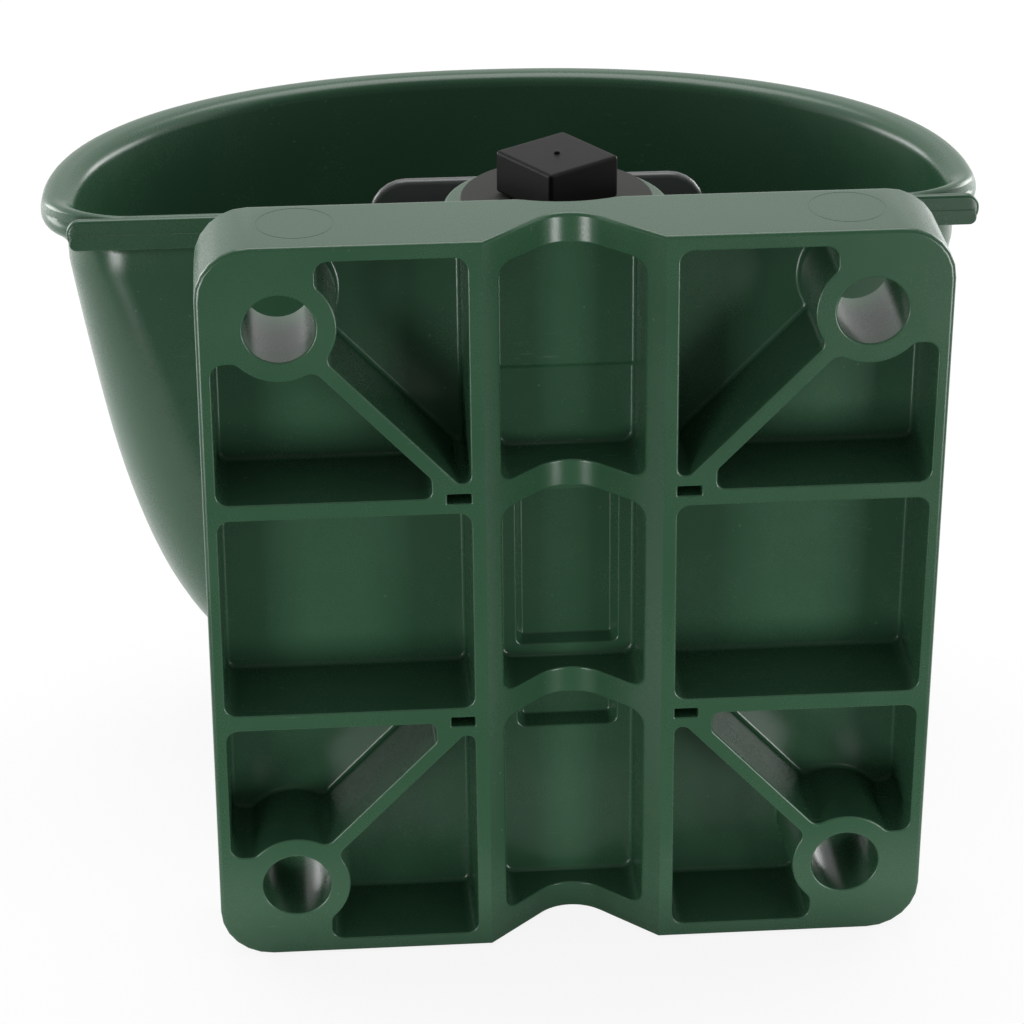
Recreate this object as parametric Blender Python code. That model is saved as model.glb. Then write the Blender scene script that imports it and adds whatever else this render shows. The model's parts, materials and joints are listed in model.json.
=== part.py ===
"""Wall-hung drinking bowl for stabled animals, with a nose tongue that opens its water valve.

The origin is the middle of the wall plate's rear face. +Z is up, the wall is on the +Y side and the basin
reaches out towards -Y, so a distance out from the wall is called depth and lies at y = -depth.
"""
import math

import bmesh
import bpy
from mathutils import Vector

# Fits
GAP = 0.0003

# Wall plate
PLATE_WIDTH = 0.165
PLATE_HEIGHT = 0.180
PLATE_DEPTH = 0.025
PLATE_CORNER = 0.012
PLATE_FLOOR = 0.003
PLATE_BORDER = 0.003
PLATE_FILLET = 0.0028
RIB = 0.004
RIB_PITCH = 0.0538
WEB = 0.0038
CHANNEL_WIDTH = 0.0372
HOLE_FROM_SIDE = 0.018
HOLE_FROM_END = 0.019
HOLE_RADIUS = 0.0079
HOLE_WALL = 0.0046
HOLE_FILL = 0.0085
GROOVE_WIDTH = 0.039
GROOVE_DEPTH = 0.0168
GROOVE_BOTTOM = 0.0075
CHANNEL_STEP = 0.001
CHANNEL_STEP_DROP = 0.031
PANEL_INSET = 0.006
PANEL_DEPTH = 0.002
THUMB_SLOT_HEIGHT = 0.008
RELIEF_CLEARANCE = 0.0024
RELIEF_HEIGHT = 0.008

# Basin
BASIN_SHIFT = 0.006
RIM_TOP = 0.0615
RIM_ROLL = 0.0038
ROLL_TURN = math.radians(165)
RIM_EDGE_DROP = 0.0006
RIM_FLARE = 0.0026
RIM_ROOT = 0.0016
RIM_ROOT_DROP = 0.001
BASIN_HALF_WIDTH = 0.1065
BASIN_BACK = 0.085
BASIN_FRONT = 0.179
BASIN_MIDDLE = 0.128
BASIN_HEIGHT = 0.1368
BASIN_WALL = 0.0032
BASIN_CORNER = 0.014
BASIN_CORNER_GROWTH = 0.022
BASIN_POWER = 2.2
WALL_POWER = 1.5
BACK_POWER = 6.0
FLOOR_POWER = 5.0
FLOOR_TURN = math.radians(80)
LIP = 0.008
BACK_LIP = 0.002

# Water tube, its flange and lugs
TUBE_RADIUS = 0.026
TUBE_TOP = 0.0768
TUBE_CLEARANCE = 0.0005
TUBE_BOTTOM = -0.048
TUBE_BORE = 0.0093
THREAD_RADIUS = 0.0105
THREAD_LENGTH = 0.016
FLANGE_WIDTH = 0.068
FLANGE_HEIGHT = 0.076
FLANGE_DEPTH = 0.006
CHEEK_INNER = 0.024
CHEEK_OUTER = 0.030
CHEEK_TOP = 0.048
CHEEK_BOTTOM = -0.030
LUG_WIDTH = 0.0059
LUG_HEIGHT = 0.0028
LUG_LENGTH = 0.016

# Plug
PLUG_SQUARE = 0.020
PLUG_HEAD = 0.0093
PLUG_TURN = math.radians(34)
PLUG_BEVEL = 0.0006
WASHER_RADIUS = 0.022
WASHER_THICKNESS = 0.002

# Valve cartridge, set across the tube and pointing into the basin
VALVE_Z = 0.030
PAD_HEIGHT = 0.0018
VALVE_PAD_RADIUS = 0.014
HEX_FLATS = 0.019
HEX_SIDES = 6
HEX_THICKNESS = 0.0035
GASKET_THICKNESS = 0.001
BARREL_RADIUS = 0.0082
BARREL_LENGTH = 0.023
CHAMBER_RADIUS = 0.0064
OUTLET_CHAMBER_RADIUS = 0.005
OUTLET_CHAMBER_LENGTH = 0.005
NOSE_THICKNESS = 0.0036
OUTLET_RADIUS = 0.0009
OUTLET_RING = 0.0037
OUTLETS = 4
SEAT_BORE = 0.0036
SEAT_THICKNESS = 0.0027
DISC_RADIUS = 0.0052
DISC_THICKNESS = 0.0025
RETAINER_RADIUS = 0.0034
RETAINER_THICKNESS = 0.0019
STEM_RADIUS = 0.0019
STEM_SHOULDER_RADIUS = 0.003
STEM_SHOULDER = 0.0016
CAP_THICKNESS = 0.0015
CAP_BORE = 0.0032
SPRING_WIRE = 0.0007
SPRING_RADIUS = 0.0046
SPRING_TURNS = 3.5
STRAINER_THICKNESS = 0.0012
STRAINER_HOLE = 0.0016
STRAINER_RING = 0.0058
STRAINER_HOLES = 6

# Flow screw
FLOW_DROP = 0.020
FLOW_PAD_RADIUS = 0.0075
FLOW_RADIUS = 0.0034
FLOW_HEAD_RADIUS = 0.0055
FLOW_HEAD = 0.0018
FLOW_SEAL = 0.0006
FLOW_REACH = 0.034
FLOW_SLOT = 0.0011
FLOW_SLOT_DEPTH = 0.0008

# Tongue and its hinge
PIN_RADIUS = 0.0019
PIN_ABOVE_VALVE = 0.014
PIN_FROM_PAD = 0.0065
PIN_OVERHANG = 0.0035
TONGUE_WIDTH = 0.082
TONGUE_END_WIDTH = 0.066
TONGUE_THICKNESS = 0.003
TONGUE_ABOVE_PIN = 0.0195
TONGUE_BELOW_PIN = 0.030
TONGUE_FROM_PIN = 0.005
TONGUE_BEND_RADIUS = 0.040
TONGUE_BEND = math.radians(48)
TONGUE_PADDLE = 0.030
TONGUE_CORNER = 0.009
TONGUE_END_CORNER = 0.016
KNUCKLE_RADIUS = 0.0034
KNUCKLE_INNER = 0.024
KNUCKLE_LENGTH = 0.006
KNUCKLE_ARM = 0.0054
BRACKET_SHEET = 0.0015
BRACKET_EAR = 0.033
BRACKET_HEIGHT = 0.015
BRACKET_BELOW_PIN = 0.002
EAR_BELOW_PIN = 0.005
EAR_PAST_PIN = 0.004
SCREW_SPREAD = 0.014
SCREW_ABOVE_PIN = 0.006
SCREW_PAD_RADIUS = 0.005
SCREW_RADIUS = 0.0017
SCREW_LENGTH = 0.011
SCREW_HEAD_RADIUS = 0.0033
SCREW_HEAD = 0.0018
CLIP_RADIUS = 0.004
CLIP_THICKNESS = 0.001

# Facets
FILLET_STEPS = 4
ARC_STEPS = 10
TUBE_SIDES = 48
BORE_SIDES = 32
SMALL_SIDES = 24
BACK_STEPS = 4
CORNER_STEPS = 5
FRONT_STEPS = 16
WALL_RINGS = 9
ROLL_RINGS = 6
SPRING_STEPS = 10
TONGUE_STEPS = 14
TONGUE_CORNER_STEPS = 6
SMOOTH_ANGLE = math.radians(32)

# Places that follow from the sizes above
TUBE_DEPTH = PLATE_DEPTH + TUBE_RADIUS + TUBE_CLEARANCE
WALL_TOP = RIM_TOP - 2 * RIM_ROLL
PAD_FACE = BASIN_BACK + BASIN_WALL + PAD_HEIGHT
PIN_DEPTH = PAD_FACE + PIN_FROM_PAD
PIN_Z = VALVE_Z + PIN_ABOVE_VALVE
SCREW_Z = PIN_Z + SCREW_ABOVE_PIN
FLOW_Z = VALVE_Z - FLOW_DROP
HOLE_X = PLATE_WIDTH / 2 - HOLE_FROM_SIDE
HOLE_Z = PLATE_HEIGHT / 2 - HOLE_FROM_END
RIB_Z = RIB_PITCH / 2
WEB_INNER = CHANNEL_WIDTH / 2
WEB_OUTER = WEB_INNER + WEB
POCKET_DEPTH = PLATE_DEPTH - PLATE_FLOOR
LUG_X = WEB_OUTER + GAP + LUG_WIDTH / 2
LUG_Z = RIB_Z + LUG_HEIGHT / 2 + GAP
QUARTERS = ((1, 1), (-1, 1), (-1, -1), (1, -1))
OUTSIDE = 0.005


def clear_scene():
    """Remove whatever the scene holds."""
    for old in list(bpy.data.objects):
        bpy.data.objects.remove(old, do_unlink=True)


def material(name, colour, roughness, metallic=0.0):
    """Return a plain surface of one colour."""
    made = bpy.data.materials.new(name)
    made.use_nodes = True
    surface = made.node_tree.nodes["Principled BSDF"]
    surface.inputs["Base Color"].default_value = (*colour, 1.0)
    surface.inputs["Roughness"].default_value = roughness
    surface.inputs["Metallic"].default_value = metallic
    return made


def place(name, shape, surface, parent=None):
    """Turn a bmesh into a smooth-shaded object, held by parent when one is given."""
    bmesh.ops.recalc_face_normals(shape, faces=shape.faces)
    mesh = bpy.data.meshes.new(name)
    shape.to_mesh(mesh)
    shape.free()
    if surface:
        mesh.materials.append(surface)
    mesh.shade_smooth()
    mesh.set_sharp_from_angle(angle=SMOOTH_ANGLE)
    item = bpy.data.objects.new(name, mesh)
    bpy.context.scene.collection.objects.link(item)
    if parent:
        item.parent = parent
        item.matrix_parent_inverse = parent.matrix_world.inverted()
    return item


def tool(name, shape):
    """Make a hidden cutter or a filler for a Boolean."""
    item = place(name, shape, None)
    item.hide_render = True
    item.display_type = "WIRE"
    return item


def combine(target, name, shape, operation):
    """Cut a shape from the target, or fuse it on."""
    step = target.modifiers.new(name, "BOOLEAN")
    step.operation = operation
    step.solver = "EXACT"
    step.object = tool(f"{target.name}_{name}", shape)


def pivot(name, position):
    """Place an empty on a joint's axis."""
    empty = bpy.data.objects.new(name, None)
    empty.location = position
    bpy.context.scene.collection.objects.link(empty)
    bpy.context.view_layer.update()
    return empty


def fillet(corners):
    """Round each corner (x, z, radius) of an outline by an arc."""
    outline = []
    for index, (x, z, radius) in enumerate(corners):
        here = Vector((x, z))
        if radius == 0:
            outline.append(here)
            continue
        following = corners[(index + 1) % len(corners)]
        back = (Vector(corners[index - 1][:2]) - here).normalized()
        ahead = (Vector(following[:2]) - here).normalized()
        half = back.angle(ahead) / 2
        centre = here + (back + ahead).normalized() * radius / math.sin(half)
        start = here + back * radius / math.tan(half) - centre
        end = here + ahead * radius / math.tan(half) - centre
        first = math.atan2(start.y, start.x)
        turn = math.atan2(start.x * end.y - start.y * end.x, start.dot(end))
        for step in range(FILLET_STEPS + 1):
            angle = first + turn * step / FILLET_STEPS
            outline.append(centre + radius * Vector((math.cos(angle), math.sin(angle))))
    return outline


def arc(centre, radius, first, last, steps=ARC_STEPS):
    """Return points on an arc, ends included."""
    points = []
    for step in range(steps + 1):
        angle = first + (last - first) * step / steps
        points.append(Vector(centre) + radius * Vector((math.cos(angle), math.sin(angle))))
    return points


def prism(shape, points, sweep):
    """Add the solid that a flat outline sweeps out."""
    face = shape.faces.new([shape.verts.new(point) for point in points])
    swept = bmesh.ops.extrude_face_region(shape, geom=[face])
    moved = [item for item in swept["geom"] if isinstance(item, bmesh.types.BMVert)]
    bmesh.ops.translate(shape, verts=moved, vec=sweep)


def depth_prism(outline, start, end, shape=None):
    """Sweep an (x, z) outline from one depth to another."""
    shape = shape or bmesh.new()
    prism(shape, [(x, -start, z) for x, z in outline], (0, start - end, 0))
    return shape


def box(low, high, shape=None):
    """Add a block between two (x, depth, z) corners."""
    outline = [(low[0], low[2]), (high[0], low[2]), (high[0], high[2]), (low[0], high[2])]
    return depth_prism(outline, low[1], high[1], shape)


def circle(radius, sides, centre=(0, 0)):
    """Return a round outline."""
    return arc(centre, radius, 0, math.tau, sides)[:-1]


def rod(x, z, radius, start, end, sides=SMALL_SIDES, shape=None):
    """Add a round bar that runs out from the wall."""
    return depth_prism(circle(radius, sides, (x, z)), start, end, shape)


def cross_rod(depth, z, radius, start, end, sides=SMALL_SIDES, shape=None):
    """Add a round bar that runs along X."""
    shape = shape or bmesh.new()
    outline = circle(radius, sides)
    prism(shape, [(start, v - depth, w + z) for v, w in outline], (end - start, 0, 0))
    return shape


def upright(x, depth, outline, bottom, top, shape=None):
    """Sweep an outline upwards."""
    shape = shape or bmesh.new()
    prism(shape, [(x + v, w - depth, bottom) for v, w in outline], (0, 0, top - bottom))
    return shape


def ring(x, z, outer, inner, start, end, sides=SMALL_SIDES):
    """Return a flat ring that faces out from the wall."""
    shape = bmesh.new()
    corners = [(inner, start), (outer, start), (outer, end), (inner, end)]
    verts = [shape.verts.new((x + radius, -depth, z)) for radius, depth in corners]
    edges = [shape.edges.new((verts[i - 1], verts[i])) for i in range(len(verts))]
    bmesh.ops.spin(shape, geom=verts + edges, cent=(x, 0, z), axis=(0, 1, 0), angle=math.tau, steps=sides,
                   use_merge=True)
    return shape


def flat_ring(depth, outer, inner, bottom, top, sides=TUBE_SIDES):
    """Return a flat ring that lies level on the tube's axis."""
    shape = bmesh.new()
    corners = [(inner, bottom), (outer, bottom), (outer, top), (inner, top)]
    verts = [shape.verts.new((radius, -depth, z)) for radius, z in corners]
    edges = [shape.edges.new((verts[i - 1], verts[i])) for i in range(len(verts))]
    bmesh.ops.spin(shape, geom=verts + edges, cent=(0, -depth, 0), axis=(0, 0, 1), angle=math.tau,
                   steps=sides, use_merge=True)
    return shape


def loft(rings):
    """Skin a row of matching point rings and close both ends."""
    shape = bmesh.new()
    rows = [[shape.verts.new(point) for point in points] for points in rings]
    for lower, upper in zip(rows, rows[1:]):
        for index in range(len(lower)):
            shape.faces.new((lower[index - 1], lower[index], upper[index], upper[index - 1]))
    shape.faces.new(rows[0])
    shape.faces.new(rows[-1])
    return shape


def mirrored(outline, side_x, side_z):
    """Flip an outline into one of the plate's four quarters."""
    return [(x * side_x, z * side_z) for x, z in outline]


def corner_pockets():
    """Return the two pockets of a plate quarter, on either side of its diagonal rib."""
    hole = Vector((HOLE_X, HOLE_Z))
    radius = HOLE_RADIUS + HOLE_WALL
    along = Vector((WEB_OUTER, RIB_Z + RIB / 2)) - hole
    along.normalize()
    across = Vector((-along.y, along.x)) * RIB / 2
    reach = math.sqrt(radius ** 2 - across.length_squared)
    side = math.sqrt(radius ** 2 - HOLE_FILL ** 2)
    border_x = PLATE_WIDTH / 2 - PLATE_BORDER
    border_z = PLATE_HEIGHT / 2 - PLATE_BORDER
    rib_edge = RIB_Z + RIB / 2

    def on_rib(x, edge):
        return hole.y + edge.y + (x - hole.x - edge.x) * along.y / along.x

    def boss_arc(start, edge):
        end = along * reach + edge
        first = math.atan2(start.y, start.x)
        turn = math.atan2(start.x * end.y - start.y * end.x, start.dot(end))
        return [(*point, 0) for point in arc(hole, radius, first, first + turn)]

    upper_edge = across if across.x < 0 else -across
    lower_edge = -upper_edge
    tip = LUG_X + LUG_WIDTH / 2 + GAP + RIB / 2
    inner = [(WEB_OUTER, border_z, PLATE_FILLET), (hole.x - HOLE_FILL, border_z, PLATE_FILLET)]
    inner += boss_arc(Vector((-HOLE_FILL, side)), upper_edge)
    inner += [(WEB_OUTER, on_rib(WEB_OUTER, upper_edge), PLATE_FILLET / 2)]
    outer = [(border_x, rib_edge, PLATE_FILLET), (border_x, hole.y - HOLE_FILL, PLATE_FILLET)]
    outer += boss_arc(Vector((side, -HOLE_FILL)), lower_edge)
    outer += [(tip, on_rib(tip, lower_edge), PLATE_FILLET / 2), (tip, rib_edge, PLATE_FILLET / 2)]
    return fillet(inner), fillet(outer)


def rectangle(half_width, bottom, top, radius, centre=0.0):
    """Return a block outline with rounded corners."""
    return fillet([(centre - half_width, bottom, radius), (centre + half_width, bottom, radius),
                   (centre + half_width, top, radius), (centre - half_width, top, radius)])


def lug_block(side_x, side_z, spare, start, end, shape):
    """Add one of the four lugs, or the slot for it when there is spare room around it."""
    half_x = LUG_WIDTH / 2 + spare
    half_z = LUG_HEIGHT / 2 + spare
    x = side_x * LUG_X
    z = side_z * LUG_Z
    box((x - half_x, start, z - half_z), (x + half_x, end, z + half_z), shape)


def plate_pockets():
    """Return the pockets, screw holes and lug slots of the plate as one cutter."""
    shape = bmesh.new()
    for side_x, side_z in QUARTERS:
        for outline in corner_pockets():
            depth_prism(mirrored(outline, side_x, side_z), -OUTSIDE, POCKET_DEPTH, shape)
        rod(side_x * HOLE_X, side_z * HOLE_Z, HOLE_RADIUS, -OUTSIDE, PLATE_DEPTH + OUTSIDE, BORE_SIDES, shape)
        lug_block(side_x, side_z, GAP, -OUTSIDE, PLATE_DEPTH + OUTSIDE, shape)
    border_x = PLATE_WIDTH / 2 - PLATE_BORDER
    middle_z = RIB_Z - RIB / 2
    for side_x in (1, -1):
        outline = rectangle((border_x - WEB_OUTER) / 2, -middle_z, middle_z, PLATE_FILLET,
                            side_x * (border_x + WEB_OUTER) / 2)
        depth_prism(outline, -OUTSIDE, POCKET_DEPTH, shape)
    return shape


def channel_pockets():
    """Return the three pockets between the two upright webs."""
    shape = bmesh.new()
    inner_z = RIB_Z - RIB / 2
    outer_z = RIB_Z + RIB / 2
    border_z = PLATE_HEIGHT / 2 - PLATE_BORDER

    def pocket(bottom, top, floor):
        depth_prism(rectangle(WEB_INNER, bottom, top, PLATE_FILLET), -OUTSIDE, floor, shape)

    pocket(outer_z, border_z, POCKET_DEPTH - CHANNEL_STEP)
    pocket(-inner_z, inner_z, POCKET_DEPTH - PANEL_DEPTH)
    pocket(-border_z, -outer_z, POCKET_DEPTH - PANEL_DEPTH)
    return shape


def channel_panels():
    """Return the shallow recesses in the floors of the channel pockets."""
    shape = bmesh.new()
    start = POCKET_DEPTH - PANEL_DEPTH - CHANNEL_STEP
    inner_z = RIB_Z - RIB / 2
    outer_z = RIB_Z + RIB / 2
    half = WEB_INNER - PANEL_INSET
    step_z = PLATE_HEIGHT / 2 - PLATE_BORDER - CHANNEL_STEP_DROP
    slot_top = -outer_z - PLATE_FILLET

    def recess(half_width, bottom, top, radius):
        depth_prism(rectangle(half_width, bottom, top, radius), start, POCKET_DEPTH, shape)

    recess(WEB_INNER - PLATE_FILLET, outer_z + PLATE_FILLET, step_z, PLATE_FILLET / 2)
    recess(half, PLATE_FILLET - inner_z, inner_z - PLATE_FILLET, PLATE_FILLET / 2)
    recess(half, slot_top - THUMB_SLOT_HEIGHT, slot_top, PLATE_FILLET)
    return shape


def pipe_groove():
    """Return the trough that lets the plate sit on a standing pipe."""
    half = GROOVE_WIDTH / 2
    centre_y = GROOVE_DEPTH - GROOVE_BOTTOM
    distance = math.hypot(half, centre_y)
    tangent = math.atan2(-centre_y, half) + math.acos(GROOVE_BOTTOM / distance)
    trough = arc((0, centre_y), GROOVE_BOTTOM, tangent, math.pi - tangent)
    outline = [(half, 0)] + [tuple(point) for point in trough] + [(-half, 0)]
    outline += [(-half, -OUTSIDE), (half, -OUTSIDE)]
    shape = bmesh.new()
    bottom = -PLATE_HEIGHT / 2 - OUTSIDE
    prism(shape, [(x, -depth, bottom) for x, depth in outline], (0, 0, PLATE_HEIGHT + 2 * OUTSIDE))
    return shape


def back_plate(surface):
    """Make the ribbed wall plate."""
    outline = rectangle(PLATE_WIDTH / 2, -PLATE_HEIGHT / 2, PLATE_HEIGHT / 2, PLATE_CORNER)
    plate = place("back_plate", depth_prism(outline, 0, PLATE_DEPTH), surface)
    combine(plate, "pockets", plate_pockets(), "DIFFERENCE")
    combine(plate, "channel", channel_pockets(), "DIFFERENCE")
    combine(plate, "panels", channel_panels(), "DIFFERENCE")
    combine(plate, "groove", pipe_groove(), "DIFFERENCE")
    relief = upright(0, TUBE_DEPTH, circle(TUBE_RADIUS + RELIEF_CLEARANCE, TUBE_SIDES),
                     PLATE_HEIGHT / 2 - RELIEF_HEIGHT, PLATE_HEIGHT / 2 + OUTSIDE)
    combine(plate, "relief", relief, "DIFFERENCE")


def basin_ring(half_width, back, front, corner, z):
    """Return one level outline of the basin: straight back, two round corners and a bowed front."""
    corner = min(corner, half_width / 2, (front - back) / 2)
    straight = half_width - corner
    bow = front - back - corner
    side = [(straight * step / BACK_STEPS, back) for step in range(BACK_STEPS)]
    side += [tuple(point) for point in arc((straight, back + corner), corner, -math.pi / 2, 0, CORNER_STEPS)]
    for step in range(1, FRONT_STEPS):
        angle = math.pi / 2 * step / FRONT_STEPS
        x = half_width * math.cos(angle) ** (2 / BASIN_POWER)
        side.append((x, back + corner + bow * math.sin(angle) ** (2 / BASIN_POWER)))
    side.append((0.0, front))
    other = [(-x, depth) for x, depth in side[-2:0:-1]]
    return [(x + BASIN_SHIFT, -depth, z) for x, depth in side + other]


def wall_ring(fall, inset, drop):
    """Return the basin's outline a share of the way down, moved in by the wall."""
    wide = (1 - fall ** WALL_POWER) ** (1 / FLOOR_POWER)
    rear = (1 - fall ** BACK_POWER) ** (1 / FLOOR_POWER)
    back = BASIN_MIDDLE - (BASIN_MIDDLE - BASIN_BACK) * rear + inset
    front = BASIN_MIDDLE + (BASIN_FRONT - BASIN_MIDDLE) * wide - inset
    corner = BASIN_CORNER + BASIN_CORNER_GROWTH * fall - inset
    return basin_ring(BASIN_HALF_WIDTH * wide - inset, back, front, corner, WALL_TOP - drop * fall)


def lip_ring(out, z):
    """Return an outline of the rolled rim, moved out from the wall."""
    rear = out * BACK_LIP / LIP if out > 0 else out
    corner = BASIN_CORNER + max(out, -BASIN_WALL)
    return basin_ring(BASIN_HALF_WIDTH + out, BASIN_BACK - rear, BASIN_FRONT + out, corner, z)


def basin():
    """Return the open basin with its rolled rim as one skin."""
    falls = [math.sin(FLOOR_TURN * step / WALL_RINGS) for step in range(WALL_RINGS + 1)]
    rings = [wall_ring(fall, BASIN_WALL, BASIN_HEIGHT - BASIN_WALL) for fall in reversed(falls)]
    rings.append(lip_ring(RIM_FLARE - BASIN_WALL, RIM_TOP - RIM_ROLL))
    rings.append(lip_ring(RIM_FLARE - BASIN_WALL / 2, RIM_TOP - RIM_EDGE_DROP))
    for step in range(ROLL_RINGS):
        turn = math.pi / 2 - ROLL_TURN * step / (ROLL_RINGS - 1)
        out = LIP - RIM_ROLL * (1 - math.cos(turn))
        rings.append(lip_ring(out, RIM_TOP - RIM_ROLL * (1 - math.sin(turn))))
    rings.append(lip_ring(RIM_ROOT, WALL_TOP - RIM_ROOT_DROP))
    rings += [wall_ring(fall, 0, BASIN_HEIGHT) for fall in falls[1:]]
    return loft(rings)


def bowl(surface):
    """Make the basin, its water tube, its flange and its lugs."""
    item = place("bowl", basin(), surface)
    tube = upright(0, TUBE_DEPTH, circle(TUBE_RADIUS, TUBE_SIDES), TUBE_BOTTOM, TUBE_TOP)
    combine(item, "tube", tube, "UNION")
    seat = PLATE_DEPTH + GAP
    for side, name in ((1, "left"), (-1, "right")):
        low = min(side * CHEEK_INNER, side * CHEEK_OUTER)
        cheek = box((low, seat + FLANGE_DEPTH / 2, CHEEK_BOTTOM),
                    (low + CHEEK_OUTER - CHEEK_INNER, BASIN_BACK + BASIN_WALL / 2, CHEEK_TOP))
        combine(item, f"cheek_{name}", cheek, "UNION")
    flange = box((-FLANGE_WIDTH / 2, seat, -FLANGE_HEIGHT / 2),
                 (FLANGE_WIDTH / 2, seat + FLANGE_DEPTH, FLANGE_HEIGHT / 2))
    combine(item, "flange", flange, "UNION")
    lugs = bmesh.new()
    for side_x, side_z in QUARTERS:
        lug_block(side_x, side_z, 0, PLATE_DEPTH - LUG_LENGTH, seat + FLANGE_DEPTH / 2, lugs)
    combine(item, "lugs", lugs, "UNION")
    combine(item, "valve_pad", rod(0, VALVE_Z, VALVE_PAD_RADIUS, TUBE_DEPTH, PAD_FACE, BORE_SIDES), "UNION")
    combine(item, "flow_pad", rod(0, FLOW_Z, FLOW_PAD_RADIUS, TUBE_DEPTH, PAD_FACE, BORE_SIDES), "UNION")
    screw_pads = bmesh.new()
    screw_holes = bmesh.new()
    for x in (SCREW_SPREAD, -SCREW_SPREAD):
        pad_root = TUBE_DEPTH + TUBE_RADIUS / 2
        rod(x, SCREW_Z, SCREW_PAD_RADIUS, pad_root, PAD_FACE, BORE_SIDES, screw_pads)
        rod(x, SCREW_Z, SCREW_RADIUS + GAP, PAD_FACE - SCREW_LENGTH, PAD_FACE + OUTSIDE, shape=screw_holes)
    combine(item, "screw_pads", screw_pads, "UNION")
    combine(item, "screw_holes", screw_holes, "DIFFERENCE")
    bore = upright(0, TUBE_DEPTH, circle(TUBE_BORE, BORE_SIDES), TUBE_BOTTOM - OUTSIDE, TUBE_TOP + OUTSIDE)
    combine(item, "bore", bore, "DIFFERENCE")
    thread = circle(THREAD_RADIUS, BORE_SIDES)
    threads = upright(0, TUBE_DEPTH, thread, TUBE_TOP - THREAD_LENGTH, TUBE_TOP + OUTSIDE)
    upright(0, TUBE_DEPTH, thread, TUBE_BOTTOM - OUTSIDE, TUBE_BOTTOM + THREAD_LENGTH, threads)
    combine(item, "threads", threads, "DIFFERENCE")
    valve_bore = rod(0, VALVE_Z, BARREL_RADIUS + GAP, TUBE_DEPTH, PAD_FACE + OUTSIDE, BORE_SIDES)
    combine(item, "valve_bore", valve_bore, "DIFFERENCE")
    flow_bore = rod(0, FLOW_Z, FLOW_RADIUS + GAP, TUBE_DEPTH, PAD_FACE + OUTSIDE)
    combine(item, "flow_bore", flow_bore, "DIFFERENCE")


def plug(surface, washer_surface):
    """Make the square-headed plug and the ring under it."""
    washer_bottom = TUBE_TOP + GAP
    washer_top = washer_bottom + WASHER_THICKNESS
    place("plug_washer", flat_ring(TUBE_DEPTH, WASHER_RADIUS, THREAD_RADIUS + GAP, washer_bottom, washer_top),
          washer_surface)
    half = PLUG_SQUARE / 2
    turn_x = math.cos(PLUG_TURN)
    turn_y = math.sin(PLUG_TURN)
    square = [(half, half), (-half, half), (-half, -half), (half, -half)]
    turned = [(x * turn_x - y * turn_y, x * turn_y + y * turn_x) for x, y in square]
    head_bottom = washer_top + GAP
    head = upright(0, TUBE_DEPTH, turned, head_bottom, head_bottom + PLUG_HEAD)
    bmesh.ops.bevel(head, geom=list(head.edges), offset=PLUG_BEVEL, segments=2, profile=0.5, affect="EDGES",
                    material=-1)
    item = place("plug", head, surface)
    shank = upright(0, TUBE_DEPTH, circle(THREAD_RADIUS - GAP, BORE_SIDES), TUBE_TOP - THREAD_LENGTH + GAP,
                    head_bottom + PLUG_HEAD / 2)
    combine(item, "shank", shank, "UNION")


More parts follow.
